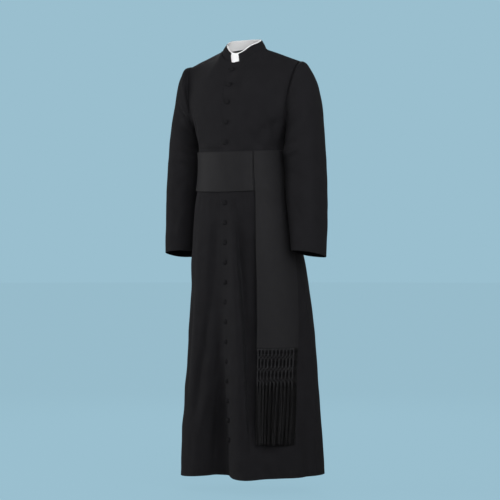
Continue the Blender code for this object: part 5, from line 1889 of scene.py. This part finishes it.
# ------------------------------------------------------------------ stage, lights and camera
BACKDROP = (0.323, 0.521, 0.624)
FLOOR_BELOW_HEM = 0.055
FLOOR_MATT = 0.06               # share of the floor's colour that takes light and shade
FLOOR_LIGHT = 0.9               # light that falls on the floor near the garment
FLOOR_RADIUS = 40.0
BACKDROP_RADIUS = 39.0
AMBIENT = {"From Min": -0.6, "From Max": 0.8, "To Min": 0.14, "To Max": 0.26}   # by height of the sky
CAMERA_DISTANCE = 6.0
CAMERA_AZIMUTH = 27.0
CAMERA_HEIGHT = -0.6806
CAMERA_ASIDE = 0.0185
METRES_PER_PIXEL = 0.00342
IMAGE_WIDTH = 500
SENSOR = 36.0


def plain_stage_piece(piece, name, material):
    """A stage piece that the camera sees and that throws no light or shade on the garment."""
    piece.name = name
    piece.data.materials.append(material)
    piece.visible_diffuse = False
    piece.visible_glossy = False
    piece.visible_shadow = False


def make_stage():
    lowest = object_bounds()[0].z
    bpy.ops.mesh.primitive_circle_add(vertices=128, radius=FLOOR_RADIUS, fill_type="NGON")
    floor = bpy.context.object
    floor.location = (0.0, 0.0, lowest - FLOOR_BELOW_HEM)
    material = bpy.data.materials.new("floor_pale")
    material.use_nodes = True
    shader = material.node_tree.nodes["Principled BSDF"]
    shader.inputs["Base Color"].default_value = (*scaled(BACKDROP, FLOOR_MATT), 1.0)
    shader.inputs["Roughness"].default_value = 1.0
    shader.inputs["Specular IOR Level"].default_value = 0.0
    shader.inputs["Emission Color"].default_value = (*BACKDROP, 1.0)
    shader.inputs["Emission Strength"].default_value = 1.0 - FLOOR_MATT * FLOOR_LIGHT
    plain_stage_piece(floor, "floor", material)

    bpy.ops.mesh.primitive_uv_sphere_add(segments=64, ring_count=32, radius=BACKDROP_RADIUS)
    dome = bpy.context.object
    material = bpy.data.materials.new("backdrop_pale")
    material.use_nodes = True
    tree = material.node_tree
    glow = tree.nodes.new("ShaderNodeEmission")
    glow.inputs["Color"].default_value = (*BACKDROP, 1.0)
    tree.links.new(glow.outputs["Emission"], tree.nodes["Material Output"].inputs["Surface"])
    plain_stage_piece(dome, "backdrop", material)

    world = bpy.data.worlds.new("studio")
    world.use_nodes = True
    tree = world.node_tree
    place = tree.nodes.new("ShaderNodeTexCoord")
    split = tree.nodes.new("ShaderNodeSeparateXYZ")
    tree.links.new(place.outputs["Generated"], split.inputs["Vector"])
    rise = tree.nodes.new("ShaderNodeMapRange")
    rise.interpolation_type = "SMOOTHSTEP"
    for key, value in AMBIENT.items():
        rise.inputs[key].default_value = value
    tree.links.new(split.outputs["Z"], rise.inputs["Value"])
    tree.links.new(rise.outputs["Result"], tree.nodes["Background"].inputs["Strength"])
    tree.nodes["Background"].inputs["Color"].default_value = (1.0, 1.0, 1.0, 1.0)
    bpy.context.scene.world = world


Light = namedtuple("Light", "name azimuth elevation distance width height watts")
LIGHTS = (
    Light("left_softbox", -65.0, 1.0, 3.2, 1.6, 1.8, 58.5),
    Light("front_softbox", 27.0, 12.0, 3.2, 1.6, 1.8, 34.6),
    Light("right_softbox", 60.0, 12.0, 3.2, 1.6, 1.8, 40.3),
    Light("top_softbox", 27.0, 40.0, 3.2, 1.6, 1.8, 15.7),
    Light("back_softbox", 207.0, 24.0, 3.4, 2.2, 2.0, 62.0),
)
LIGHT_TARGET = (0.0, 0.0, -0.40)


def make_lights():
    for row in LIGHTS:
        data = bpy.data.lights.new(row.name, "AREA")
        data.shape = "RECTANGLE"
        data.size = row.width
        data.size_y = row.height
        data.energy = row.watts
        lamp = bpy.data.objects.new(row.name, data)
        bpy.context.scene.collection.objects.link(lamp)
        azimuth = math.radians(row.azimuth)
        level = math.cos(math.radians(row.elevation))
        rise = math.sin(math.radians(row.elevation))
        way = Vector((math.sin(azimuth) * level, -math.cos(azimuth) * level, rise))
        lamp.location = Vector(LIGHT_TARGET) + way * row.distance
        lamp.rotation_mode = "QUATERNION"
        lamp.rotation_quaternion = (-way).to_track_quat("-Z", "Y")


def make_camera():
    data = bpy.data.cameras.new("camera")
    data.sensor_width = SENSOR
    data.lens = SENSOR * CAMERA_DISTANCE / (METRES_PER_PIXEL * IMAGE_WIDTH)
    data.dof.use_dof = False
    camera = bpy.data.objects.new("camera", data)
    bpy.context.scene.collection.objects.link(camera)
    azimuth = math.radians(CAMERA_AZIMUTH)
    back = Vector((math.sin(azimuth), -math.cos(azimuth), 0.0)) * CAMERA_DISTANCE
    aside = Vector((math.cos(azimuth), math.sin(azimuth), 0.0)) * CAMERA_ASIDE
    camera.location = back + aside + Vector((0.0, 0.0, CAMERA_HEIGHT))
    camera.rotation_euler = (math.radians(90.0), 0.0, azimuth)
    bpy.context.scene.camera = camera


# ------------------------------------------------------------------ the whole
fronts = make_fronts()
make_backs()
make_sleeve("sleeve_left", 1.0, LEFT_SLEEVE_LINES, LEFT_FULLNESS)
make_sleeve("sleeve_right", -1.0, RIGHT_SLEEVE_LINES, RIGHT_FULLNESS)
make_collar()
make_buttons()
make_buttonholes(fronts)
make_band()
for row in FALLS:
    make_fall(row)
for row in FRINGES:
    make_fringe(row)

Sheet = namedtuple("Sheet", "name width length area held rests_on with_pieces")


make_stage()
make_lights()
make_camera()
bpy.context.scene.view_settings.view_transform = "Standard"
